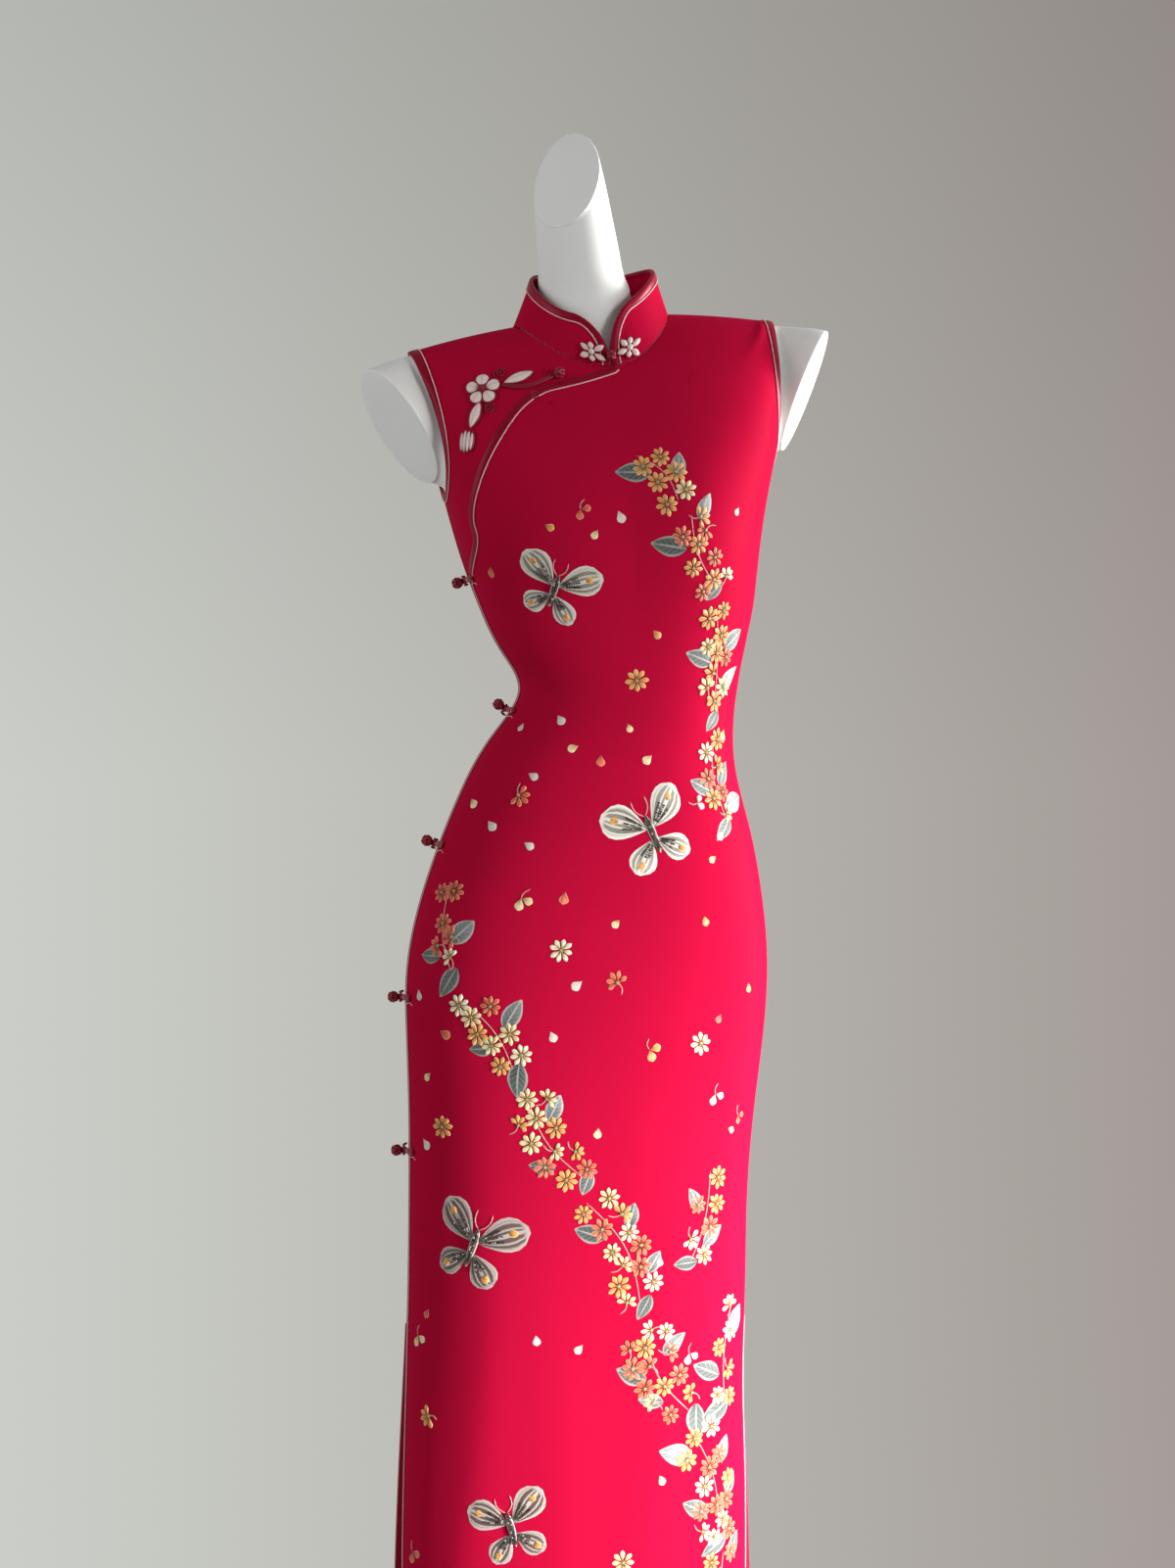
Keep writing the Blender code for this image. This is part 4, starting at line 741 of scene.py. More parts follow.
# A closed body from rings, wrapped round or with its ends closed by fans; UV is metres along
# and turns round.
def ringPiece(name, rings, look, nodes=(), closed=False, metresRound=0.0, crease=50.0):
    points, faceSets, uv = ringBody(rings, closed, metresRound)
    return makePiece(name, points, faceSets, look, nodes, uv, None, crease)


def ringBody(rings, closed=False, metresRound=0.0):
    count, around = rings.shape[:2]
    index = np.arange(count * around).reshape(count, around)
    points = rings.reshape(-1, 3)
    along = runLength(rings.mean(axis=1))[:, None] + np.zeros((count, around))
    turns = np.linspace(0, metresRound or 1.0, around, endpoint=False) + np.zeros((count, 1))
    uv = stacked(along, turns).reshape(-1, 2)
    sides = gridFaces(index, closed, True)
    if closed:
        return points, [sides], uv
    far = count * around
    points = np.concatenate([points, rings[[0, -1]].mean(axis=1)])
    uv = np.concatenate([uv, uv[[0, -1]]])
    onward = np.roll(index, -1, axis=1)
    fans = [stacked(onward[0], index[0], np.full(around, far)),
            stacked(index[-1], onward[-1], np.full(around, far + 1))]
    return points, [sides, np.concatenate(fans)], uv


# Joins several bodies into one mesh, shifting their faces.
def joinBodies(bodies):
    points, quads, triangles, uvs, base = [], [], [], [], 0
    for body, faceSets, uv in bodies:
        for faces in faceSets:
            (quads if faces.shape[1] == 4 else triangles).append(faces + base)
        points.append(body)
        uvs.append(uv)
        base += len(body)
    faceSets = [np.concatenate(group) for group in (quads, triangles) if group]
    return np.concatenate(points), faceSets, np.concatenate(uvs)


# Rings of a round cord along a path, square to it; outward says which way is up.
def cordRings(path, outward, radius, around=8, flatten=1.0, closed=False):
    if closed:
        run = np.roll(path, -1, axis=0) - np.roll(path, 1, axis=0)
    else:
        run = np.gradient(path, axis=0)
    side = unit(np.cross(run, outward))
    over = unit(np.cross(side, run))
    angle = wholeTurn(around)
    radius = np.broadcast_to(radius, len(path))[:, None, None]
    offset = (np.cos(angle)[None, :, None] * side[:, None]
              + flatten * np.sin(angle)[None, :, None] * over[:, None])
    return path[:, None] + radius * offset


# A cord's ends rounded off: its radius falls as a quarter circle over the last share.
def roundedEnds(count, radius, share=0.08):
    at = np.linspace(0, 1, count)
    near = np.clip(np.minimum(at, 1 - at) / share, 0, 1)
    return radius * np.sqrt(np.clip(1 - (1 - near)**2, 0.02, 1))


def makePanels():
    rows = panelRows(panelGrid)
    seam = dress["seamTurn"] / (math.pi / 2)
    even = np.full(rows.shape, 1 - seam)
    opened = rows > dress["openingEnd"] + 1e-6
    opening = np.where(opened, openingShare(rows, dress["seam"] / 2), -even)

    def panel(name, panelRow, left, right, half, back, node):
        share = spreadColumns(panelRow, left, right, half)
        row = np.repeat(panelRow[:, None], share.shape[1], axis=1)
        turn, height = panelPoint(share, row, back)
        wallPiece(name, cloth(turn, height), cloth(turn, height, -dress["wall"]), "silk", [node])

    panel("silk_front", rows, opening, even, panelGrid["half"], False, "front_panel")
    panel("silk_back", rows, -even, even, panelGrid["half"], True, "back_panel")
    tip = dress["openingEnd"] + dress["underlapTip"]
    above = rows[rows > tip + 1e-6]
    edge = openingShare(above, -dress["seam"] / 2)
    mix = (tip - dress["openingEnd"]) / (above[0] - dress["openingEnd"])
    first = -1 + seam + mix * (edge[0] + 1 - seam)
    panel("silk_yoke", np.append(tip, above), np.full(len(above) + 1, -1 + seam),
          np.append(first, edge), panelGrid["yokeHalf"], False, "right_yoke")
    return rows, opening, even


allRows, openingEdge, sideEdge = makePanels()
print("silk panels made")

# The binding's section, across from the edge and lift, in millimetres. It wraps a free edge.
bindingShape = {
    "wrapped": ((7.0, 0.06), (6.8, 0.62), (6.0, 1.00), (4.6, 1.20), (3.0, 1.22), (1.6, 1.12), (0.5, 0.92),
                (-0.35, 0.50), (-0.70, -0.10), (-0.70, -0.75), (-0.35, -1.40), (0.5, -1.66), (3.0, -1.60),
                (3.0, -1.27), (-0.08, -1.27), (-0.08, 0.06)),
    "laidFloor": 0.05, "round": 0.016, "cordAside": 0.0079, "cordLift": 0.0009, "cordRadius": 0.00068,
    "openingSamples": 420, "slitSamples": 90, "armholeSamples": 260,
}
bindingPieces = {"front": [], "back": [], "yoke": [], "collar": []}


# A strip along a line on the cloth: each corner of its section is the line moved aside over
# the cloth and lifted. free is 1 where the cloth ends there, and 0 where more cloth goes on.
def bindEdge(name, line, side, free, closed, group):
    turn, height = line
    rings = []
    for aside, lift in bindingShape["wrapped"]:
        lift = np.where(free > 0.5, lift, max(lift, bindingShape["laidFloor"]))
        movedTurn, movedHeight = beside(turn, height, np.full(turn.shape, side * aside / 1000))
        rings.append(cloth(movedTurn, movedHeight, lift / 1000))
    rings = np.stack(rings, axis=1)
    moved = beside(turn, height, np.full(turn.shape, side * bindingShape["cordAside"]))
    path = cloth(*moved, bindingShape["cordLift"])
    outward = tangents(*moved)[2]
    if closed:
        rings, path, outward = rings[:-1], path[:-1], outward[:-1]
    strip = ringPiece("binding_" + name, rings, "binding", [name + "_binding"], closed,
                      bindingShape["round"])
    cordBody = cordRings(path, outward, bindingShape["cordRadius"], 8, closed=closed)
    cord = ringPiece("cord_" + name, cordBody, "paleCord", [name + "_cord"], closed)
    bindingPieces[group] += [strip, cord]


# The armhole's edge: armpit, up the front, over the shoulder and down the back.
def armholeLine(side):
    rows = yokeRows(90)
    front = panelPoint(float(side), rows, False)
    back = panelPoint(float(side), rows[:0:-1], True)
    shift = 2 * math.pi if side < 0 else 0
    return (np.concatenate([front[0], back[0] - shift, front[0][:1]]),
            np.concatenate([front[1], back[1], front[1][:1]]))


# Samples a line evenly along its length.
def evenLine(turn, height, count):
    length = runLength(dressSurface(turn, height))
    at = np.linspace(0, length[-1], count)
    return np.interp(at, length, turn), np.interp(at, length, height)


def makeBindings():
    down = allRows[::-1]
    line = evenLine(*panelPoint(openingEdge[::-1], down, False), bindingShape["openingSamples"])
    bindEdge("opening", line, 1, (line[1] < dress["slitTop"]).astype(float), False, "front")
    slit = np.linspace(dress["slitTop"], dress["hem"], bindingShape["slitSamples"])
    near = np.full(slit.shape, sideEdge[0])
    free = np.ones(slit.shape)
    bindEdge("slit_left_front", panelPoint(near, slit, False), -1, free, False, "front")
    bindEdge("slit_left_back", panelPoint(near, slit, True), 1, free, False, "back")
    bindEdge("slit_right_back", panelPoint(-near, slit, True), -1, free, False, "back")
    for name, side, group in (("armhole_left", 1, "front"), ("armhole_right", -1, "yoke")):
        line = evenLine(*armholeLine(side), bindingShape["armholeSamples"])
        bindEdge(name, line, side, np.ones(line[0].shape), True, group)


makeBindings()
print("bindings and cords made")

collar = {
    "halfWidth": 0.0610, "halfDepth": 0.0560, "middle": (0.0035, -0.0070, 1.4520), "sideRise": 0.0083,
    "frontTwist": 0.0082, "frontDrop": 0.044, "backRise": 0.006, "corner": 0.038,
    "endHeight": 0.007, "start": 0.0010, "foot": 0.0006, "wall": 0.0020, "columns": 150,
    "cornerColumns": 40, "rows": 14, "round": 0.018, "edgeAbove": 0.0004, "edgeSamples": 360,
    "wrapped": ((7.0, 0.06), (6.8, 0.70), (6.0, 1.05), (4.6, 1.25), (3.0, 1.28), (1.6, 1.20), (0.5, 1.00),
                (-0.45, 0.45), (-0.80, -0.50), (-0.80, -1.50), (-0.40, -2.30), (0.5, -2.75), (3.4, -2.70),
                (3.6, -2.10), (-0.05, -2.05), (-0.05, 0.06)),
}


# The neckline by angle: 0 at the front, a quarter turn at the wearer's left.
def neckline(angle):
    turn = turnOf(neckShare * np.sin(angle), np.cos(angle) < 0)
    return dressSurface(turn, dress["armpit"] + neckTop(turn) * dress["yokeRise"])


# The collar stands from the neckline to an oval that dips at the front and leans sideways.
# Returns foot, direction up the collar, outward direction and full height.
def collarFrame(angle):
    def lean(at):
        x, y, z = collar["middle"]
        swing = (collar["frontDrop"] + collar["backRise"]) / 2
        sag = (collar["frontDrop"] - collar["backRise"]) / 2
        top = stacked(x + collar["halfWidth"] * np.sin(at), y - collar["halfDepth"] * np.cos(at),
                      z - swing * np.cos(at) - sag * np.cos(at)**2)
        top[..., 2] += (collar["sideRise"] + collar["frontTwist"] * np.cos(at)) * np.sin(at)
        return neckline(at), top

    foot, top = lean(angle)
    full = np.linalg.norm(top - foot, axis=-1)
    upward = unit(top - foot)
    outward = unit(np.cross(sum(lean(angle + 0.01)) - sum(lean(angle - 0.01)), upward))
    return foot, upward, outward, full


# tall metres up from the foot, moved out by lift.
def collarPoint(angle, tall, lift):
    foot, upward, outward, _ = collarFrame(angle)
    lift = np.broadcast_to(lift, tall.shape)[..., None]
    return foot + upward * tall[..., None] + outward * lift


collarAngles = np.linspace(0, 2 * math.pi, 1441)
collarArc = runLength(neckline(collarAngles))


# The collar's edge: distance round the foot, and height there. Quarter ellipses round the
# two front corners.
def collarEdge():
    length, start, corner = collarArc[-1], collar["start"], collar["corner"]
    curve = start + corner * (1 - np.cos(np.linspace(0, math.pi / 2, collar["cornerColumns"])))
    middle = np.linspace(start + corner, length - start - corner, collar["columns"])[1:-1]
    along = np.concatenate([curve, middle, (length - curve)[::-1]])
    angle = np.interp(along, collarArc, collarAngles)
    inward = np.clip(np.minimum(along, length - along) - start, 0, corner) / corner
    full = collarFrame(angle)[3]
    ends = collar["endHeight"]
    return along, angle, ends + (full - ends) * np.sqrt(1 - (1 - inward)**2)


def makeCollar():
    along, angle, tall = collarEdge()
    share = np.linspace(0, 1, collar["rows"])[:, None]
    height = collar["foot"] + share * (tall - collar["foot"])
    angles = np.repeat(angle[None], collar["rows"], axis=0)
    outside, inside = collarPoint(angles, height, 0.0), collarPoint(angles, height, -collar["wall"])
    wallPiece("silk_collar", outside, inside, "silk", ["collar"])
    low = collar["foot"] + collar["edgeAbove"]
    path = np.concatenate([[(along[0], low)], stacked(along, tall), [(along[-1], low)]])
    length = runLength(path)
    at = np.linspace(0, length[-1], collar["edgeSamples"])
    path = stacked(np.interp(at, length, path[:, 0]), np.interp(at, length, path[:, 1]))
    run = np.gradient(path, axis=0)
    run[:3], run[-3:] = (0, 1), (0, -1)
    run = unit(run)
    inward = stacked(run[:, 1], -run[:, 0])

    def moved(aside, lift):
        line = path + inward * aside
        line[:, 1] = np.maximum(line[:, 1], low)
        return collarPoint(np.interp(line[:, 0], collarArc, collarAngles), line[:, 1], lift)

    rings = np.stack([moved(aside / 1000, lift / 1000) for aside, lift in collar["wrapped"]], axis=1)
    strip = ringPiece("binding_collar", rings, "binding", ["collar_binding"], False,
                      collar["round"])
    cordPath = moved(bindingShape["cordAside"], bindingShape["cordLift"])
    outward = cordPath - moved(bindingShape["cordAside"], 0.0)
    cord = ringPiece("cord_collar", cordRings(cordPath, outward, bindingShape["cordRadius"]),
                     "paleCord", ["collar_cord"])
    bindingPieces["collar"] += [strip, cord]


makeCollar()
print("collar made")

form = {
    "clearance": 0.0009, "chestClearance": 0.0019, "neckClearance": 0.0025, "bottom": 0.600,
    "half": 21, "yoke": 40, "neckRings": 26, "stubRings": 20,
    "neckCutThrough": (-0.0240, -0.0215, 1.5485), "slopeAcross": 1.15, "slopeDepth": 1.50,
    "stubMiddle": (0.2050, 0.0, -0.0885), "aside": 0.0035, "stubTall": 0.0635, "stubDeep": 0.0445,
    "dip": 29.0, "forward": 20.0, "lead": 0.0035, "leave": 0.42, "arrive": 0.55, "edge": 0.0012,
    "footRise": 0.030, "footSwing": 0.012, "chestFrom": 1.09, "chestFade": 0.04,
}
# The neck column: height, middle across, middle depth, half width, half depth.
neckRows = (
    (1.4330, -0.0020, -0.0030, 0.0475, 0.0490),
    (1.4510, -0.0075, -0.0080, 0.0428, 0.0450),
    (1.4700, -0.0108, -0.0120, 0.0408, 0.0430),
    (1.4995, -0.0158, -0.0165, 0.0388, 0.0410),
    (1.5430, -0.0222, -0.0210, 0.0350, 0.0375),
    (1.6000, -0.0315, -0.0250, 0.0285, 0.0320),
)
neckSplines = [splineThrough([row[0] for row in neckRows], [row[place] for row in neckRows])
               for place in range(1, 5)]


# Ellipses whose middle and half sizes run smoothly up the neck.
def neckPoint(angle, height):
    across, depth, halfWidth, halfDepth = (
        read(np.clip(height, neckRows[0][0], neckRows[-1][0])) for read in neckSplines)
    return stacked(across + halfWidth * np.sin(angle), depth - halfDepth * np.cos(angle), height)


# Height where the slanted plane meets the neck column, by repeated steps towards it.
def neckCut(angle):
    x, y, z = form["neckCutThrough"]
    height = np.full(angle.shape, z)
    for _ in range(60):
        point = neckPoint(angle, height)
        plane = z + form["slopeAcross"] * (point[:, 0] - x) + form["slopeDepth"] * (point[:, 1] - y)
        height = 0.7 * height + 0.3 * plane
    return height


# Rings between two loops as cubics.
def loft(start, leave, end, arrive, steps):
    return cubic(start, leave, end, arrive, np.linspace(0, 1, steps + 1)[1:, None, None])


# How far the form lies under the cloth: more over the chest and most at the neckline.
def formInset(turn, height):
    rise = yokeShare(height)
    inside = 1 / (1 + (sideShare(turn) / neckShare)**8)
    chest = np.clip((height - form["chestFrom"]) / form["chestFade"], 0, 1)
    chest = chest * (1 - np.clip(2 * rise - 0.6, 0, 1))
    chest = np.where(np.sin(turn) < -1e-6, chest, 0)
    return (dress["wall"] + form["clearance"] * (1 + rise) + form["chestClearance"] * chest
            + form["neckClearance"] * inside * rise**2)


def formPoint(turn, height):
    return dressSurface(turn, height) - tangents(turn, height)[2] * formInset(turn, height)[..., None]


# Rings that round the rim of a flat cap: a quarter circle from the last ring towards its middle.
def roundedCap(rim, middle, facing, size):
    angle = np.linspace(0, math.pi / 2, 6)[1:, None, None]
    reach = np.linalg.norm(rim - middle, axis=-1, keepdims=True)
    inward = (middle - rim) / reach
    rounded = rim + inward * size * (1 - np.cos(angle)) + facing * size * np.sin(angle)
    flat = [middle + facing * size + (rounded[-1] - middle - facing * size) * share for share in (0.7, 0.35)]
    return np.concatenate([rounded, np.array(flat)])


# Torso, neck and two capped stubs as one closed body: grids of the front and the back share
# their side columns up to the armpits, and the ridge between neck and armhole.
def makeForm():
    worn = panelRows(panelGrid)[::2]
    low = np.append(form["bottom"], worn[(worn > form["bottom"] + 0.002) & (worn < dress["armpit"] - 0.001)])
    rise = (1 - np.cos(np.linspace(0, math.pi, form["yoke"]))) / 2
    rows = np.concatenate([low, dress["armpit"] + dress["yokeRise"] * rise])
    share = spreadColumns(rows[:1], -np.ones(1), np.ones(1), form["half"])[0]
    count, wide = len(rows), len(share)
    places = [panelPoint(*np.meshgrid(share, rows), back) for back in (False, True)]
    points = np.concatenate([formPoint(*place).reshape(-1, 3) for place in places])
    front = np.arange(count * wide).reshape(count, wide)
    back = front + count * wide
    joined = np.arange(count) <= len(low)
    back[joined, 0], back[joined, -1] = front[joined, 0], front[joined, -1]
    ridge = np.abs(share) > 0.5 - 1e-6
    back[-1, ridge] = front[-1, ridge]
    quads, triangles = [gridFaces(front), gridFaces(back)[:, ::-1]], []

    # A loop through both grids: along the front's part, then home along the back's.
    def looped(grids, *part):
        return np.concatenate([grids[0][part], grids[1][part][-2:0:-1]])

    def extend(points, loop, rings, cap):
        base, size = len(points), len(loop)
        points = np.concatenate([points, rings.reshape(-1, 3), cap[None]])
        index = np.concatenate([loop[None], base + np.arange(rings.shape[0] * size).reshape(-1, size)])
        quads.append(gridFaces(index, False, True))
        tip = np.full(size, len(points) - 1)
        triangles.append(stacked(index[-1], np.roll(index[-1], -1), tip))
        return points

    loop = looped((front, back), 0)
    middle = points[loop].mean(axis=0)
    points = extend(points, loop, roundedCap(points[loop], middle, np.array([0, 0, -1.0]), 0.0001), middle)

    inner = np.where(np.abs(share) < 0.5 + 1e-6)[0]
    loop = looped((front, back), -1, inner)
    angle = looped((share * math.pi, math.pi - share * math.pi), inner)
    turn, height = (looped(pair, -1, inner) for pair in zip(*places))
    start = points[loop]
    foot = start[:, 2] + form["footRise"] + form["footSwing"] * np.cos(angle)
    base = neckPoint(angle, foot)
    span = np.linalg.norm(base - start, axis=1, keepdims=True)
    outward = tangents(turn, height)[2]
    flat = base - start
    leave = unit(flat - outward * dot(flat, outward)[:, None]) * span
    rings = [loft(start, leave, base, np.array([0, 0, 1.0]) * span, 8)]
    cut = neckCut(angle)
    climb = foot + (cut - foot) * np.linspace(0, 1, form["neckRings"])[1:, None]
    rings.append(neckPoint(angle + 0 * climb, climb))
    rings = np.concatenate(rings)
    facing = unit(np.array([-form["slopeAcross"], -form["slopeDepth"], 1.0]))
    middle = rings[-1].mean(axis=0)
    edge = form["edge"]
    cap = roundedCap(rings[-1], middle, facing, edge)
    points = extend(points, loop, np.concatenate([rings, cap]), middle + facing * edge)

    for side, column in ((1, -1), (-1, 0)):
        grid = slice(len(low), None)
        loop = looped((front, back), grid, column)
        turn, height = (looped(pair, grid, column) for pair in zip(*places))
        start = points[loop]
        dip, forward = math.radians(form["dip"]), math.radians(form["forward"])
        facing = unit(np.array([side * math.cos(dip), -math.sin(forward), -math.sin(dip)]))
        upward = unit(np.array([0, 0, 1.0]) - facing * facing[2])
        deep = np.cross(facing, upward) * -side
        x, y, z = form["stubMiddle"]
        middle = fromShoulders(np.array([side * x + form["aside"], y, z]))
        turned = fromShoulders(np.array([[0, 0, 0], facing, upward, deep]))
        facing, upward, deep = turned[1:] - turned[0]
        half = form["yoke"] - 1
        sweep = np.linspace(-math.pi / 2, math.pi * 3 / 2, 2 * half + 1)[:-1]
        rim = (middle + np.outer(np.sin(sweep), upward) * form["stubTall"]
               - np.outer(np.cos(sweep), deep) * form["stubDeep"])
        line = [np.append(turn, turn[0]), np.append(height, height[0])]
        if side < 0:
            line[0] = np.where(line[0] > 0, line[0] - 2 * math.pi, line[0])
        beyond = beside(*line, np.full(len(loop) + 1, -side * form["lead"]))
        lead = formPoint(*beyond)[:-1]
        span = np.linalg.norm(rim - lead, axis=1, keepdims=True)
        rings = loft(lead, unit(lead - start) * span * form["leave"], rim,
                     facing * span * form["arrive"], form["stubRings"])
        cap = roundedCap(rim, middle, facing, edge)
        points = extend(points, loop, np.concatenate([lead[None], rings, cap]), middle + facing * edge)
    return makePiece("form_body", points, [np.concatenate(quads), np.concatenate(triangles)], "form",
                     ["form_torso"], crease=38.0)


formBody = makeForm()

stand = {
    "poleRadius": 0.0125, "flange": 0.055, "flangeThick": 0.006, "socket": 0.028, "socketTall": 0.050,
    "baseRadius": 0.170, "baseThick": 0.012, "baseEdge": 0.003, "around": 96, "bevel": 0.001, "blend": 0.002,
}


# A round piece about the upright axis from rows of height and radius.
def turnedPiece(name, profile, node):
    angle = wholeTurn(stand["around"])
    profile = np.array(profile)
    height, radius = profile[:, :1], profile[:, 1:]
    rings = stacked(radius * np.cos(angle), radius * np.sin(angle), height + 0 * angle)
    return ringPiece(name, rings, "steel", [node], crease=32.0)


# A quarter round between two points of a turned profile.
def quarterRound(fromRow, toRow, steps=6):
    angle = np.linspace(0, math.pi / 2, steps)
    rise, out = toRow[0] - fromRow[0], toRow[1] - fromRow[1]
    return [(fromRow[0] + rise * math.sin(a), fromRow[1] + out * (1 - math.cos(a))) for a in angle]


def makeStand():
    foot = stand["baseThick"] + dress["seam"]
    top = form["bottom"] - dress["seam"]
    socket, radius, flange, thick = (stand[key] for key in ("socket", "poleRadius", "flange", "flangeThick"))
    tall, bevel, blend = (stand[key] for key in ("socketTall", "bevel", "blend"))
    pole = [(foot, socket - bevel), (foot + bevel, socket), (foot + tall * 0.3, socket)]
    pole += quarterRound((foot + tall * 0.34, socket), (foot + tall, radius + blend))
    pole += [(foot + tall + blend, radius), (top - thick * 3, radius)]
    pole += quarterRound((top - thick * 2.6, radius), (top - thick, flange))
    pole += [(top, flange)]
    turnedPiece("stand_pole", pole, "form_pole")
    edge, thick, radius = stand["baseEdge"], stand["baseThick"], stand["baseRadius"]
    base = [(0.0, radius - bevel), (bevel, radius)]
    base += quarterRound((thick - edge, radius), (thick, radius - edge))
    base += [(thick, radius * 0.6), (thick, radius * 0.2)]
    turnedPiece("stand_base", base, "form_base")


makeStand()
print("form and stand made")


# A frame laid on the cloth: a metres round and b metres up from a point, turned by tilt.
def clothPlace(turn, height, tilt=0.0):
    turn, height = np.asarray(turn, float), np.asarray(height, float)
    byTurn, _, outward = tangents(turn, height)
    across = unit(byTurn)
    turnRound, heightRound = stepsOnCloth(turn, height, across)
    turnUp, heightUp = stepsOnCloth(turn, height, np.cross(outward, across))
    cos, sin = np.cos(np.radians(tilt)), np.sin(np.radians(tilt))

    def place(a, b, lift):
        x, y = a * cos - b * sin, a * sin + b * cos
        return cloth(turn + turnRound * x + turnUp * y, height + heightRound * x + heightUp * y, lift)
    return place


# The same on the collar, along metres round from the front's middle and tall metres up.
def collarPlace(along, tall, tilt=0.0):
    cos, sin = direction(tilt)

    def place(a, b, lift):
        reach = (along + a * cos - b * sin) % collarArc[-1]
        return collarPoint(np.interp(reach, collarArc, collarAngles), tall + a * sin + b * cos, lift)
    return place


# A straight frame that doesn't bend with the cloth, for what stands out from it.
def stiffPlace(place):
    origin = place(np.array(0.0), np.array(0.0), 0.0)
    across = unit(place(np.array(0.001), np.array(0.0), 0.0) - origin)
    outward = unit(place(np.array(0.0), np.array(0.0), 0.001) - origin)
    up = np.cross(outward, across)

    def straight(a, b, lift):
        a, b, lift = np.broadcast_arrays(a, b, lift)
        return origin + a[..., None] * across + b[..., None] * up + lift[..., None] * outward
    return straight


# A cord along a path of across, up and lift in a frame, its ends rounded.
def placedCord(place, path, radius, around=8, closed=False):
    path = np.asarray(path, float)
    line = place(path[:, 0], path[:, 1], path[:, 2])
    above = place(path[:, 0], path[:, 1], path[:, 2] + 0.001) - line
    size = radius if closed else roundedEnds(len(path), radius, min(0.4, 2 * radius / runLength(line)[-1]))
    return ringBody(cordRings(line, above, size, around, closed=closed), closed)


# A smooth line through a few points, sampled evenly.
def smoothPath(points, count):
    points = np.asarray(points, float)
    knots = runLength(points)
    at = np.linspace(0, knots[-1], count)
    return stacked(*(splineThrough(knots, column)(at) for column in points.T))


# A ball knot: a cord runs three times round a core while it swings five times from pole to
# pole, passing over and under itself.
def cordedBall(place, lift, radius, strands=(3, 5), samples=230):
    leads, bights = strands
    s = wholeTurn(samples)
    lon, lat = leads * s, 1.02 * np.sin(bights * s)
    reach = radius * (0.74 + 0.065 * np.sin(2 * bights * s))
    path = stacked(np.sin(lat), np.cos(lat) * np.cos(lon), np.cos(lat) * np.sin(lon))
    path = path * reach[:, None]
    tube = placedCord(place, path + (0, 0, lift), radius * 0.255, 7, True)
    rise = np.linspace(-1.5, 1.5, 12)
    angle = wholeTurn(16)
    core = radius * 0.70
    rings = place(core * np.cos(rise)[:, None] * np.cos(angle), core * np.cos(rise)[:, None] * np.sin(angle),
                  lift + core * np.sin(rise)[:, None] + 0 * angle)
    return [tube, ringBody(rings)]


def bodiesPiece(name, bodies, look, nodes):
    points, faceSets, uv = joinBodies(bodies)
    return makePiece(name, points, faceSets, look, nodes, uv)


# Closures down the side opening: height, lift that clears the binding's cord.
closureRows = ((1.156, 0.0026), (1.004, 0.0032), (0.878, 0.0024), (0.740, 0.0024), (0.592, 0.0024))
closure = {
    "turn": -math.pi + 0.02, "ball": 0.0058, "middle": 0.0105, "neck": 0.00148,
    "tabBehind": -0.003, "tabReach": 0.018, "tabCord": 0.00135, "stitch": 0.00045,
    "ring": 0.0042, "wire": 0.0012, "tail": 0.018, "high": 0.0034, "low": 0.0018,
    "sinkFrom": 0.011, "sinkOver": 0.007, "onCloth": 0.0004, "neckFrom": 0.0008, "neckTwist": 2.4,
    "tabGap": 1.05, "couched": (0.003, 0.0165, 6), "slant": 0.0006, "arcFrom": 0.15, "arcTall": 2.15,
    "arcWide": 3.1, "loopFrom": 0.001,
    "threadTail": ((0.002, -0.0048, 0.0022), (0.009, -0.0062, 0.0012), (0.016, -0.0052, 0.0006),
                   (0.0225, -0.0078, 0.0005)),
}


# How far a tab has sunk towards the cloth once it is past the binding's cord.
def sunk(across, over):
    share = np.clip((across - closure["sinkFrom"]) / closure["sinkOver"], 0, 1)
    return share**2 * (over - closure["onCloth"])


# A hairpin: out along reach, round a half circle about a point, and back beside itself.
def hairpin(reach, about, half, steps):
    bend = np.linspace(-math.pi / 2, math.pi / 2, steps)
    straight = np.full(len(reach), half)
    return (np.concatenate([reach, about + half * np.cos(bend), reach[::-1]]),
            np.concatenate([-straight, half * np.sin(bend), straight]))


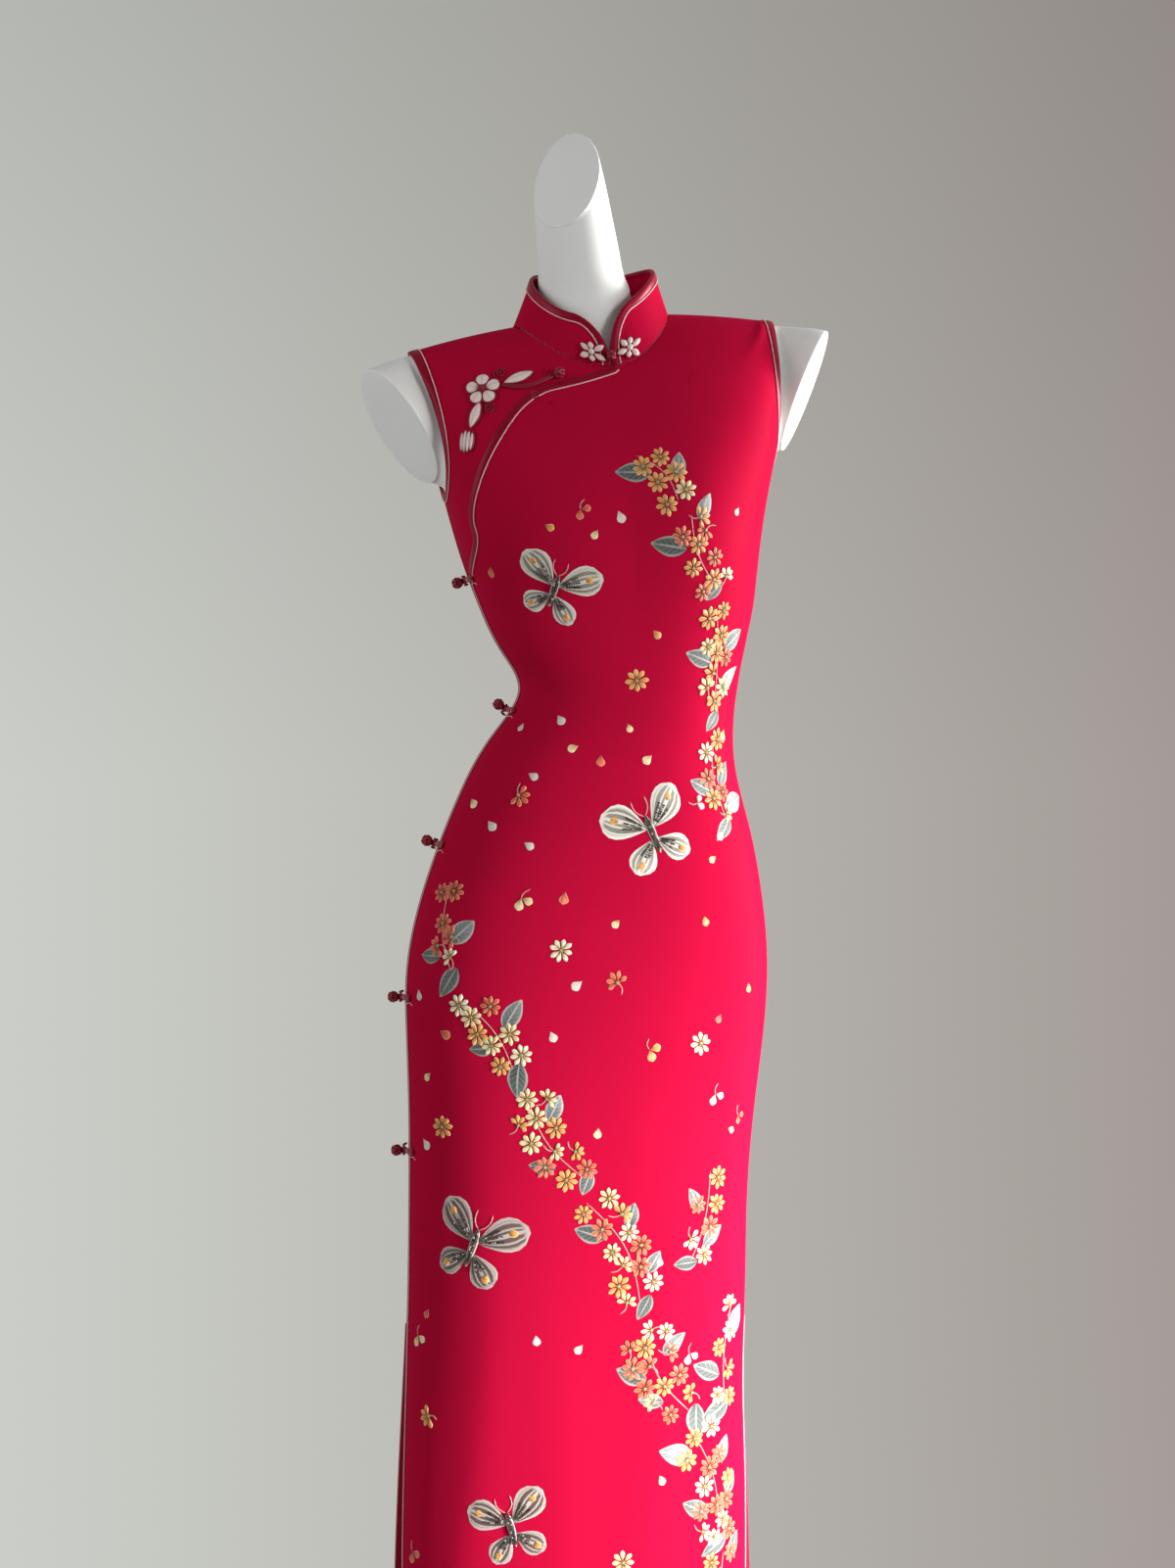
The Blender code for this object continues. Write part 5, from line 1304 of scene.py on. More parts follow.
# One fastened closure: the ball on its two-strand neck, the tab of two laid cords with a
# pale couching thread on the front, and the loop that comes round from the back.
def makeClosure(number, height, over):
    bent = clothPlace(closure["turn"], height)
    stiff = stiffPlace(bent)
    tag = str(number)
    neck = closure["neck"]
    rise = np.linspace(over + closure["neckFrom"], over + closure["middle"] - closure["ball"] * 0.7, 10)
    bodies = cordedBall(stiff, over + closure["middle"], closure["ball"])
    twist = np.linspace(0, closure["neckTwist"], 10)
    for start in (0, math.pi):
        path = stacked(neck * np.cos(twist + start), neck * np.sin(twist + start), rise)
        outward = stiff(*(path + (0.001, 0, 0)).T) - stiff(*path.T)
        bodies.append(ringBody(cordRings(stiff(*path.T), outward, neck)))
    bodiesPiece("knot_" + tag, bodies, "redCord", ["side_knot_" + tag])

    gap, thick = closure["tabCord"] * closure["tabGap"], closure["tabCord"]
    reach = np.linspace(closure["tabBehind"], closure["tabReach"] - gap, 22)
    across, up = hairpin(reach, reach[-1], gap, 9)
    tab = placedCord(bent, stacked(across, up, over + thick - sunk(across, over)), thick)
    bodiesPiece("tab_" + tag, [tab], "redCord", ["side_tab_" + tag])
    stitches = []
    arc = np.linspace(closure["arcFrom"], math.pi - closure["arcFrom"], 9)
    for place in np.linspace(*closure["couched"]):
        path = stacked(place + closure["slant"] * np.cos(arc),
                       -closure["arcWide"] * thick * np.cos(arc) * 0.75,
                       over - sunk(place, over) + closure["arcTall"] * thick * np.sin(arc)**0.6 - 0.0002)
        stitches.append(placedCord(bent, path, closure["stitch"] * 0.7, 5))
    stitches.append(placedCord(bent, smoothPath(closure["threadTail"], 26), closure["stitch"], 6))
    bodiesPiece("tab_stitches_" + tag, stitches, "paleCord", ["side_tab_" + tag])

    ring, low, tail, ahead = (closure[key] for key in ("ring", "low", "tail", "loopFrom"))
    high = over + closure["high"]
    back = np.linspace(-tail, -ahead, 16)
    sink = low + (high - low) * (1 - (1 - (back + tail) / (tail - ahead))**2)
    across, up = hairpin(back, 0.0, ring, 15)
    lift = np.concatenate([sink, np.full(15, high), sink[::-1]])
    loop = placedCord(bent, stacked(across, up, lift), closure["wire"])
    bodiesPiece("loop_" + tag, [loop], "redCord", ["side_loop_" + tag])


for number, (height, over) in enumerate(closureRows, start=1):
    makeClosure(number, height, over)
print("side closures made")

# Patch outlines: half width runs as sin(pi s^lean)^round from root to tip.
patchShapes = {
    "petal": (1.30, 0.52), "drop": (1.70, 0.72), "leaf": (0.84, 0.86), "boss": (1.0, 0.50),
    "body": (0.80, 0.70), "wing": (1.50, 0.62), "almond": (1.05, 0.80),
}


def patchWidth(s, lean, roundness):
    return np.sin(math.pi * s**lean)**roundness


# A crowned padded patch in a frame: s runs root to tip and t side to side; it swells as half
# an ellipse across and closes on a flat back.
def paddedPatch(place, patch, rows=17, columns=13):
    s = np.linspace(0.012, 0.985, rows)[:, None]
    t = np.linspace(-1, 1, columns)[None]
    a, b = patchPoints(patch, s, t)
    crown = np.sqrt(np.clip(1 - t**2, 0, 1)) * np.sin(math.pi * np.clip(s, 0, 1))**0.45
    outer = place(a, b, patch["base"] + patch["tall"] * crown)
    inner = place(a, b, patch["base"] - 0.0002 + 0 * crown)
    index = np.arange(rows * columns).reshape(rows, columns)
    under = index + rows * columns
    edge = np.zeros((rows, columns), bool)
    edge[0] = edge[-1] = True
    edge[:, 0] = edge[:, -1] = True
    under[edge] = index[edge]
    faces = np.concatenate([gridFaces(index), gridFaces(under)[:, ::-1]])
    uv = np.stack(np.broadcast_arrays((t + 1) / 2, s), axis=-1).reshape(-1, 2)
    points = np.concatenate([outer.reshape(-1, 3), inner.reshape(-1, 3)])
    used = np.unique(faces)
    renumber = np.zeros(len(points), int)
    renumber[used] = np.arange(len(used))
    return points[used], [renumber[faces]], np.concatenate([uv, uv])[used]


def patchPoints(patch, s, t):
    angle = math.radians(patch["angle"])
    half = patch["wide"] / 2 * patchWidth(s, *patchShapes[patch["shape"]])
    along, side = patch.get("start", 0.0) + s * patch["long"], t * half
    return (along * math.cos(angle) - side * math.sin(angle),
            patch.get("b", 0.0) + along * math.sin(angle) + side * math.cos(angle))


# A cord along a patch's outline.
def patchOutline(place, patch, radius, out=1.0):
    sweep = wholeTurn(44)
    s = 0.5 - 0.485 * np.cos(sweep)
    t = np.where(sweep < math.pi, 1.0, -1.0) * out * np.clip(np.abs(np.sin(sweep)) * 4, 0, 1)
    a, b = patchPoints(patch, s, t)
    path = stacked(a, b, np.full(44, patch["base"] + radius * 0.6))
    return placedCord(place, path, radius, 6, True)


# A ring of petals round a middle; uneven makes some of them longer.
def flowerPatches(petals, long, wide, tall, base, start, shape="petal", uneven=0.0):
    return [{"shape": shape, "angle": 360 / petals * k,
             "long": long * (1 + uneven * math.cos(2.4 * k)), "wide": wide, "tall": tall, "base": base,
             "start": start} for k in range(petals)]


collarBlossoms = {
    "rows": (("collar_blossom_right", -0.0185, 30.0), ("collar_blossom_left", 0.0205, 8.0)),
    "up": 0.0125, "petals": 6, "long": 0.0098, "wide": 0.0064, "tall": 0.0022, "base": 0.0030,
    "start": 0.0026, "cord": 0.00055, "ball": 0.0029, "uneven": 0.30, "knotUp": 0.0095, "knotBall": 0.0047,
    "knotLift": 0.0018,
}


def makeCollarBlossoms(settings):
    for node, along, turned in settings["rows"]:
        place = collarPlace(along, settings["up"], turned)
        patches = flowerPatches(settings["petals"], settings["long"], settings["wide"], settings["tall"],
                                settings["base"], settings["start"], "almond", settings["uneven"])
        petals = bodiesPiece(node + "_petals", [paddedPatch(place, patch) for patch in patches],
                             "padded", [node])
        trims = [patchOutline(place, patch, settings["cord"]) for patch in patches]
        bodiesPiece(node + "_cords", trims, "redCord", [node])
        middle = cordedBall(place, settings["base"] + settings["ball"] * 0.6, settings["ball"])
        bodiesPiece(node + "_centre", middle, "padded", [node])
    place = stiffPlace(collarPlace(0.0, settings["knotUp"]))
    ball = cordedBall(place, settings["knotLift"] + settings["knotBall"], settings["knotBall"])
    bodiesPiece("collar_ball", ball, "redCord", ["collar_knot"])


makeCollarBlossoms(collarBlossoms)

# Chest frog: its cord's line, its knot and its coils by across and up, as they lie on the front.
chestFrog = {
    "base": 0.0010, "cord": 0.00085, "twin": 0.00105, "ball": 0.0056, "ballLift": 0.0001,
    "coilCord": 0.00075, "coilLift": 0.0011, "coilSamples": 70, "centre": (0.0030, 0.0040), "samples": 60,
    "line": ((-0.0950, 1.3350), (-0.0830, 1.3325), (-0.0700, 1.3335), (-0.0580, 1.3380), (-0.0455, 1.3440)),
    "knot": (-0.0400, 1.3447),
    "coils": ((-0.0960, 1.3475, 0.0062, 200), (-0.1085, 1.3120, 0.0056, 20), (-0.0655, 1.3240, 0.0050, 120)),
}


# Straight padded patches of one shape: length, width, height, start along, place across.
def straightPatches(shape, angle, rows):
    return [{"shape": shape, "angle": angle, "long": long, "wide": wide, "tall": tall,
             "base": chestFrog["base"], "start": start, "b": aside}
            for long, wide, tall, start, aside in rows]


# The frog's padded parts: node, across, up, tilt, patches.
frogRows = (
    ("chest_blossom", -0.1135, 1.3310, 12.0,
     flowerPatches(5, 0.0140, 0.0132, 0.0030, chestFrog["base"], 0.0032)),
    ("chest_leaf_upper", -0.0790, 1.3425, 14.0, straightPatches("almond", 0, (
        (0.0320, 0.0112, 0.0028, -0.0160, 0.0),))),
    ("chest_leaf_lower", -0.1215, 1.3050, 66.0, straightPatches("almond", 0, (
        (0.0276, 0.0104, 0.0028, -0.0138, 0.0),))),
    ("chest_bud", -0.1290, 1.2800, 80.0, straightPatches("boss", 180, (
        (0.0180, 0.0043, 0.0024, -0.0086, 0.0054), (0.0214, 0.0045, 0.0030, -0.0107, 0.0018),
        (0.0206, 0.0045, 0.0030, -0.0101, -0.0018), (0.0172, 0.0043, 0.0024, -0.0084, -0.0054)))),
)


# A flat spiral of cord: its radius grows evenly from nothing over two turns.
def coilPath(size, first):
    count = chestFrog["coilSamples"]
    angle = np.linspace(0.6, 4.2 * math.pi, count)
    reach = size * angle / angle[-1]
    angle = angle + math.radians(first)
    lift = np.full(count, chestFrog["coilLift"])
    return stacked(reach * np.cos(angle), reach * np.sin(angle), lift)


def makeChestFrog(settings):
    cords = []
    for node, across, up, tilt, patches in frogRows:
        place = clothPlace(*spot(across, up), tilt)
        petals = bodiesPiece(node + "_padding", [paddedPatch(place, patch) for patch in patches],
                             "padded", [node])
        cords += [patchOutline(place, patch, settings["cord"], 1.04) for patch in patches]
    place = clothPlace(*spot(frogRows[0][1], frogRows[0][2]))
    cords += cordedBall(place, *settings["centre"])
    for across, up, size, first in settings["coils"]:
        place = clothPlace(*spot(across, up))
        cords.append(placedCord(place, coilPath(size, first), settings["coilCord"], 6))
    bodiesPiece("frog_outlines", cords, "redCord", ["chest_blossom"])
    count = settings["samples"]
    turn, height = spot(*smoothPath(settings["line"], count).T)
    twins = []
    for side in (-1, 1):
        moved = beside(turn, height, np.full(count, side * settings["twin"]))
        path = cloth(*moved, settings["base"] + settings["twin"])
        size = roundedEnds(count, settings["twin"], 0.03)
        twins.append(ringBody(cordRings(path, tangents(*moved)[2], size, 8)))
    bodiesPiece("frog_twin_cord", twins, "redCord", ["chest_cord"])
    place = stiffPlace(clothPlace(*spot(*settings["knot"])))
    bodiesPiece("frog_ball", cordedBall(place, settings["ballLift"] + settings["ball"], settings["ball"]),
                "redCord", ["chest_knot"])


makeChestFrog(chestFrog)
print("frogs made")

# Threads: main, rim and root colours.
threads = {
    "cream": ((0.860, 0.700, 0.310), (0.950, 0.890, 0.660), (0.420, 0.310, 0.070)),
    "pale": ((0.890, 0.800, 0.520), (0.960, 0.930, 0.800), (0.480, 0.400, 0.140)),
    "amber": ((0.830, 0.360, 0.070), (0.930, 0.620, 0.260), (0.420, 0.180, 0.030)),
    "coral": ((0.760, 0.140, 0.050), (0.880, 0.360, 0.180), (0.330, 0.030, 0.020)),
    "ivory": ((0.740, 0.660, 0.600), (0.800, 0.740, 0.690), (0.640, 0.520, 0.450)),
    "leaf": ((0.060, 0.082, 0.070), (0.330, 0.340, 0.320), (0.026, 0.038, 0.034)),
    "frost": ((0.170, 0.192, 0.184), (0.430, 0.425, 0.405), (0.054, 0.062, 0.058)),
    "silver": ((0.260, 0.245, 0.200), (0.740, 0.710, 0.640), (0.050, 0.038, 0.030)),
    "ash": ((0.110, 0.074, 0.062), (0.520, 0.430, 0.400), (0.040, 0.024, 0.020)),
    "scale": ((0.040, 0.026, 0.022), (0.620, 0.570, 0.520), (0.040, 0.026, 0.022)),
    "boss": ((0.330, 0.340, 0.090), (0.180, 0.150, 0.030), (0.500, 0.420, 0.120)),
}
embroidery = {
    "seed": 11, "petals": 8, "petalLong": 0.0104, "petalWide": 0.0047, "petalRoot": 0.0014,
    "pastPetals": 0.0008, "bossLong": 0.0040, "bossWide": 0.0038, "sideStem": 0.012,
    "bloom": (0.0092, 0.0114), "fullShare": 0.80, "singleBloom": 0.0112, "singleFullShare": 0.7,
    "leafLong": 0.030, "leafWide": 0.0168, "leaf": (0.025, 0.038), "leafTip": 0.034, "leavesApart": 0.024,
    "tall": 0.0007, "base": 0.00012, "layer": 0.00010, "rows": 8, "columns": 7,
    "apart": 0.0162, "closer": 0.0030, "tries": 40, "leftBodice": 0.58, "leftSkirt": 0.74,
    "bodiceFrom": 1.19, "bodiceStitches": 1.04, "stemRadius": 0.00062, "stemLift": 0.00035,
}
dice = np.random.default_rng(embroidery["seed"])
patches = []
stems = []


# Adds one stitched patch: its root at a, b in a motif's frame, running on at an angle.
def stitch(where, shape, a, b, angle, long, wide, thread, layer=0, tall=1.0, rib=0.0, bend=0.0):
    main, edge, root = threads[thread]
    patches.append((*where, a, b, angle, long, wide, embroidery["tall"] * tall,
                    embroidery["base"] + embroidery["layer"] * layer, *patchShapes[shape], bend, rib,
                    *main, *edge, *root))


# A flower of narrow petals round a boss, seen full or, with half of them, from the side.
def blossom(turn, height, size, thread, turned, full=True):
    where = (turn, height, 0.0)
    scale = size / (embroidery["petalLong"] + embroidery["pastPetals"])
    step, root = 360 / embroidery["petals"], embroidery["petalRoot"] * scale
    bossLong, bossWide = embroidery["bossLong"] * scale, embroidery["bossWide"] * scale
    for k in range(embroidery["petals"] if full else embroidery["petals"] // 2 + 1):
        angle = turned + step * k + dice.uniform(-4, 4)
        stitch(where, "drop", *(root * direction(angle)), angle,
               embroidery["petalLong"] * scale * dice.uniform(0.88, 1.04),
               embroidery["petalWide"] * scale, thread, 5 + k % 2)
    stitch(where, "boss", -bossLong / 2, 0, 0, bossLong, bossWide, "boss", 9, 1.4)
    if not full:
        stemLine(turn, height, turned + step * 1.5 + 180 + dice.uniform(-20, 20), embroidery["sideStem"])


# Where leaves already lie, so that no two of them share a place.
leafMiddles = []


# A veined leaf from its root, left out where another lies too near.
def leaf(turn, height, angle, long, thread, bend=0.0):
    where = (turn, height, 0.0)
    middle = np.array([turn * dress["metresRound"], height]) + long / 2 * direction(angle)
    if any(math.dist(middle, other) < embroidery["leavesApart"] for other in leafMiddles):
        return
    leafMiddles.append(middle)
    wide = embroidery["leafWide"] * long / embroidery["leafLong"]
    stitch(where, "leaf", 0, 0, angle, long, wide, thread, 1, 0.5, 1.0, bend)


# A thin stem from a point, at an angle, bowed a little.
def stemLine(turn, height, angle, long, bow=0.18):
    u = np.linspace(0, 1, 9)
    cos, sin = direction(angle)
    side = bow * long * np.sin(u * math.pi)
    a, b = long * u * cos - side * sin, long * u * sin + side * cos
    stems.append((turn + a / dress["metresRound"], height + b))


# Beaded butterflies: share, height, tilt (head up), size, thread of the wings.
butterflyRows = ((-0.36, 1.135, -24.0, 0.90, "silver"), (0.14, 0.905, 28.0, 1.00, "silver"),
                 (-0.46, 0.505, -20.0, 1.00, "ash"), (-0.28, 0.235, 16.0, 0.88, "ash"))
butterfly = {
    "body": 0.040, "wide": 0.0080, "keep": 0.062, "wingOut": 0.30, "spotAt": 0.62, "spotLong": 0.0085,
    "spotWide": 0.0075, "bead": 0.00105, "spacing": 0.0024, "rays": (-13, 0, 13), "wingBeads": (0.16, 0.52),
    "wingLift": 1.5, "bodyBeads": (-0.40, 0.42), "bodyLift": 3.4, "aside": 0.0013,
    "beadTones": ((0.040, 0.022, 0.015, 1), (0.150, 0.105, 0.070, 1), (0.620, 0.580, 0.520, 1)),
    "toneShares": (0.45, 0.35, 0.20), "beadRings": (-42, 0, 42), "beadAround": 6, "head": 0.46,
    "feeler": 0.020, "feelerTurn": 22, "feelerBow": 0.18,
}
# Their wings: root up the body, angle, length, width, layer.
wingRows = ((0.0060, 36.0, 0.050, 0.034, 1), (-0.0050, -44.0, 0.037, 0.027, 0))


# Whether a spot is clear of the front panel's opening edge and its binding.
def clearOfEdge(share, height, margin=0.075):
    row = np.minimum(height, dress["armpit"])
    rise = np.clip((height - dress["armpit"]) / dress["yokeRise"] / 0.80, 0, 1)
    row = row + rise * dress["yokeRise"]
    return share > np.interp(row, allRows, openingEdge) + margin


# Whether a spot is clear of the butterflies: outside a round field about each of them.
def clearOfButterflies(share, height):
    return all(math.hypot((share - at) * math.pi / 2 * dress["metresRound"], height - middle)
               > butterfly["keep"] * size for at, middle, _, size, _ in butterflyRows)


# Whether a motif may be stitched at a turn and height: on the front, short of the left side.
def free(turn, height, margin=0.075):
    share = turn / (math.pi / 2) + 1
    left = embroidery["leftBodice"] if height > embroidery["bodiceFrom"] else embroidery["leftSkirt"]
    return bool(clearOfEdge(share, height, margin)) and share < left and clearOfButterflies(share, height)


# Garlands, spray by spray: from share and height to share and height (-1 is the wearer's
# right seam), bow in metres, blossoms, leaves, half spread in metres.
sprayRows = (
    (0.62, 0.095, 0.55, 0.195, 0.010, 13, 6, 0.0200),
    (0.52, 0.215, 0.40, 0.320, -0.010, 14, 7, 0.0210),
    (0.37, 0.345, 0.20, 0.425, 0.010, 13, 6, 0.0190),
    (0.17, 0.455, -0.02, 0.545, -0.010, 12, 5, 0.0180),
    (-0.06, 0.575, -0.26, 0.650, 0.008, 11, 5, 0.0160),
    (-0.32, 0.680, -0.52, 0.740, -0.008, 9, 4, 0.0140),
    (-0.58, 0.770, -0.68, 0.840, 0.006, 6, 4, 0.0120),
    (0.58, 0.350, 0.62, 0.440, 0.006, 6, 4, 0.0120),
    (0.38, 0.490, 0.46, 0.570, -0.006, 6, 4, 0.0120),
    (0.53, 0.930, 0.50, 1.010, 0.006, 8, 5, 0.0130),
    (0.48, 1.035, 0.41, 1.120, -0.008, 11, 6, 0.0170),
    (0.38, 1.142, 0.24, 1.200, 0.008, 10, 5, 0.0160),
    (0.18, 1.220, 0.04, 1.262, -0.006, 7, 3, 0.0120),
)
bloomThreads = ("cream", "amber", "coral", "amber", "pale", "cream", "amber", "coral")


# One spray: blossoms at jittered steps along a bowed line, leaves at its start and sides.
def spray(fromShare, fromHeight, toShare, toHeight, bow, blossoms, leaves, spread):
    quarter = math.pi / 2
    start = np.array([fromShare * quarter * dress["metresRound"], fromHeight])
    end = np.array([toShare * quarter * dress["metresRound"], toHeight])
    run = end - start
    length = np.linalg.norm(run)
    side = np.array([-run[1], run[0]]) / length
    heading = math.degrees(math.atan2(run[1], run[0]))

    def at(u, aside):
        point = start + run * u + side * (bow * math.sin(math.pi * u) + aside)
        return -quarter + point[0] / dress["metresRound"], point[1]

    placed = []
    for k in range(blossoms):
        best, bestGap = None, -1.0
        for _ in range(embroidery["tries"]):
            u, aside = dice.uniform(), dice.uniform(-spread, spread)
            gap = min([math.hypot((u - pu) * length, aside - pa) for pu, pa in placed] or [1.0])
            if gap > bestGap:
                best, bestGap = (u, aside), gap
        if bestGap < embroidery["apart"] - embroidery["closer"] * (k % 3):
            continue
        placed.append(best)
        turn, height = at(*best)
        if free(turn, height):
            blossom(turn, height, dice.uniform(*embroidery["bloom"]),
                    bloomThreads[int(dice.integers(0, len(bloomThreads)))], dice.uniform(0, 360),
                    dice.uniform() < embroidery["fullShare"])
    for k in range(leaves):
        u = -0.02 if k % 3 == 0 else dice.uniform(0.1, 1.0)
        aside = spread * (0.6 if k % 2 else -0.6)
        turn, height = at(u, aside)
        angle = heading + (180 if k % 3 == 0 else 0) + (1 if k % 2 else -1) * dice.uniform(30, 75)
        reach, rise = embroidery["leafTip"] * direction(angle)
        if free(turn, height) and free(turn + reach / dress["metresRound"], height + rise, 0.10):
            leaf(turn, height, angle, dice.uniform(*embroidery["leaf"]), ("leaf", "leaf", "frost")[k % 3],
                 dice.uniform(-8, 8))
    u = np.linspace(-0.05, 1.05, 24)
    line = np.array([at(one, 0.0) for one in u])
    keep = clearOfEdge(line[:, 0] / quarter + 1, line[:, 1], 0.05)
    if keep.all():
        stems.append((line[:, 0], line[:, 1]))


for row in sprayRows:
    spray(*row)

# Single flowers: share, height, thread.
singleRows = (
    (0.36, 0.700, "pale"), (-0.62, 0.620, "amber"), (0.04, 0.760, "coral"), (-0.16, 0.790, "pale"),
    (-0.66, 0.340, "amber"), (0.12, 0.200, "cream"), (-0.46, 0.930, "coral"), (-0.02, 1.050, "amber"),
    (-0.60, 0.150, "pale"),
)
for share, height, thread in singleRows:
    if clearOfButterflies(share, height):
        blossom((share - 1) * math.pi / 2, height, embroidery["singleBloom"], thread,
                dice.uniform(0, 360), dice.uniform() < embroidery["singleFullShare"])

# Loose petals, some of them in pairs on a short stem.
petalField = {
    "count": 80, "lowest": 0.080, "highest": 1.240, "from": -0.80, "over": 1.50, "long": 0.0118,
    "wide": 0.0086, "clear": 0.017, "margin": 0.16, "pairs": 0.30, "second": 0.9, "stem": 0.011,
    "angles": (200, 340), "sizes": (0.75, 1.1), "fork": (70, 110),
    "threads": ("ivory", "cream", "amber", "coral", "ivory"),
}


# Whether something is stitched near a spot.
def nearBlossom(turn, height):
    around = dress["metresRound"]
    return any(math.hypot((turn - patch[0]) * around, height - patch[1]) < petalField["clear"]
               for patch in patches)


# Loose petals lie thinly over the whole front.
def fallingPetals(field):
    for _ in range(field["count"]):
        height = dice.uniform(field["lowest"], field["highest"])
        share = field["from"] + field["over"] * dice.uniform()
        angle = dice.uniform(*field["angles"])
        where = ((share - 1) * math.pi / 2, height, 0.0)
        if not free(where[0], height, field["margin"]) or nearBlossom(where[0], height):
            continue
        thread = field["threads"][int(dice.integers(0, len(field["threads"])))]
        size = dice.uniform(*field["sizes"])
        stitch(where, "drop", 0, 0, angle, field["long"] * size, field["wide"] * size, thread, 1)
        if dice.uniform() < field["pairs"]:
            turned = angle + dice.uniform(*field["fork"])
            stemLine(where[0], height, angle + 180 + dice.uniform(-30, 30), field["stem"])
            stitch(where, "drop", 0.001, 0, turned, field["long"] * size * field["second"],
                   field["wide"] * size * field["second"], thread, 3)


fallingPetals(petalField)
beadPoints = []
beadTones = []


# A butterfly seen from above: two pairs of stitched wings, each with a coloured spot, a body
# and wing roots set with beads, and two feelers.
def makeButterfly(share, height, tilt, size, thread):
    turn = (share - 1) * math.pi / 2
    where = (turn, height, tilt)
    long, wide = butterfly["body"] * size, butterfly["wide"] * size
    place = clothPlace(turn, height, tilt)
    wingLift, bodyLift = (embroidery["tall"] * butterfly[key] for key in ("wingLift", "bodyLift"))
    beads = []
    for side in (-1, 1):
        for rootUp, angle, reach, breadth, layer in wingRows:
            heading = angle if side > 0 else 180 - angle
            rootA, rootB, reach = side * wide * butterfly["wingOut"], rootUp * size, reach * size
            stitch(where, "wing", rootA, rootB, heading, reach, breadth * size, thread, layer, 1.0, 2.0)
            spotAt = np.array([rootA, rootB]) + direction(heading) * reach * butterfly["spotAt"]
            stitch(where, "boss", *spotAt, heading, butterfly["spotLong"] * size,
                   butterfly["spotWide"] * size, "amber", 6, 1.2)
            near, far = butterfly["wingBeads"]
            for fan in butterfly["rays"]:
                ray = direction(heading + fan)
                beads += [(rootA + ray[0] * step, rootB + ray[1] * step, wingLift)
                          for step in np.arange(near * reach, far * reach, butterfly["spacing"])]
    stitch(where, "body", 0, long / 2, -90, long, wide, "scale", 7, 2.6)
    low, high = butterfly["bodyBeads"]
    for step in np.arange(long * low, long * high, butterfly["spacing"]):
        beads += [(across, step, bodyLift) for across in (-butterfly["aside"], butterfly["aside"])]
    beads = np.array(beads)
    beadPoints.append(place(beads[:, 0], beads[:, 1], beads[:, 2] + butterfly["bead"] * 0.5))
    beadTones.append(dice.choice(3, len(beads), p=butterfly["toneShares"]))
    lean = math.radians(tilt)
    headTurn = turn - math.sin(lean) * long * butterfly["head"] / dress["metresRound"]
    headHeight = height + math.cos(lean) * long * butterfly["head"]
    for side in (-1, 1):
        stemLine(headTurn, headHeight, 90 + tilt + side * butterfly["feelerTurn"],
                 butterfly["feeler"] * size, side * butterfly["feelerBow"])


for row in butterflyRows:
    makeButterfly(*row)


# All stitched patches at once: each is a crowned grid with its own root, heading, size and
# outline, laid on the cloth in its motif's frame, with a flat back that shares its rim.
def makeStitches(name, table):
    rows, columns = embroidery["rows"], embroidery["columns"]
    table = np.array(table, float)[:, :, None, None]
    (turn, height, tilt, rootA, rootB, angle, long, wide, tall, base, lean, roundness, bend) = (
        table[:, k] for k in range(13))
    s = np.linspace(0.02, 0.985, rows)[None, :, None]
    t = np.linspace(-1, 1, columns)[None, None, :]
    half = wide / 2 * patchWidth(s, lean, roundness)
    cos, sin = np.cos(np.radians(angle)), np.sin(np.radians(angle))
    a = rootA + s * long * cos - t * half * sin
    b = rootB + s * long * sin + t * half * cos
    a = a + bend * b * b
    crown = np.sqrt(np.clip(1 - t**2, 0, 1)) * np.sin(math.pi * s)**0.4
    place = clothPlace(turn, height, tilt)
    top = place(a, b, base + tall * crown)
    under = place(a, b, base * 0.5 + 0 * crown)
    count, grid = len(table), rows * columns
    index = np.arange(grid).reshape(rows, columns)
    inside = np.zeros((rows, columns), bool)
    inside[1:-1, 1:-1] = True
    low = index.copy()
    low[inside] = grid + np.arange(inside.sum())
    size = grid + inside.sum()
    faces = np.concatenate([gridFaces(index), gridFaces(low)[:, ::-1]])
    faces = (faces[None] + (np.arange(count) * size)[:, None, None]).reshape(-1, 4)
    points = np.concatenate([top.reshape(count, grid, 3), under[:, inside]], axis=1).reshape(-1, 3)
    uv = np.stack(np.broadcast_arrays((t + 1) / 2, s), axis=-1)[0]
    uv = np.concatenate([uv.reshape(-1, 2), uv[inside]])
    uv = np.tile(uv, (count, 1))
    paint = {}
    for key, first in (("thread", 14), ("edge", 17), ("root", 20)):
        colour = table[:, first:first + 3, 0, 0]
        shade = 1 + dice.uniform(-0.10, 0.10, (count, 1))
        colour = np.concatenate([np.clip(colour * shade, 0, 1), np.ones((count, 1))], axis=1)
        paint[key] = np.repeat(colour, size, axis=0)
    paint["rib"] = np.repeat(table[:, 13, 0, 0], size)
    return makePiece(name, points, [faces], "thread", (), uv, paint)


split = embroidery["bodiceStitches"]
makeStitches("embroidery_bodice", [patch for patch in patches if patch[1] > split])
makeStitches("embroidery_skirt", [patch for patch in patches if patch[1] <= split])
print("stitched patches:", len(patches))


def makeStems():
    bodies = []
    for turn, height in stems:
        path = cloth(turn, height, embroidery["stemLift"])
        radius = roundedEnds(len(turn), embroidery["stemRadius"], 0.1)
        rings = cordRings(path, tangents(turn, height)[2], radius, 5, 0.7)
        bodies.append(ringBody(rings))
    bodiesPiece("embroidery_stems", bodies, "stem", ())


makeStems()


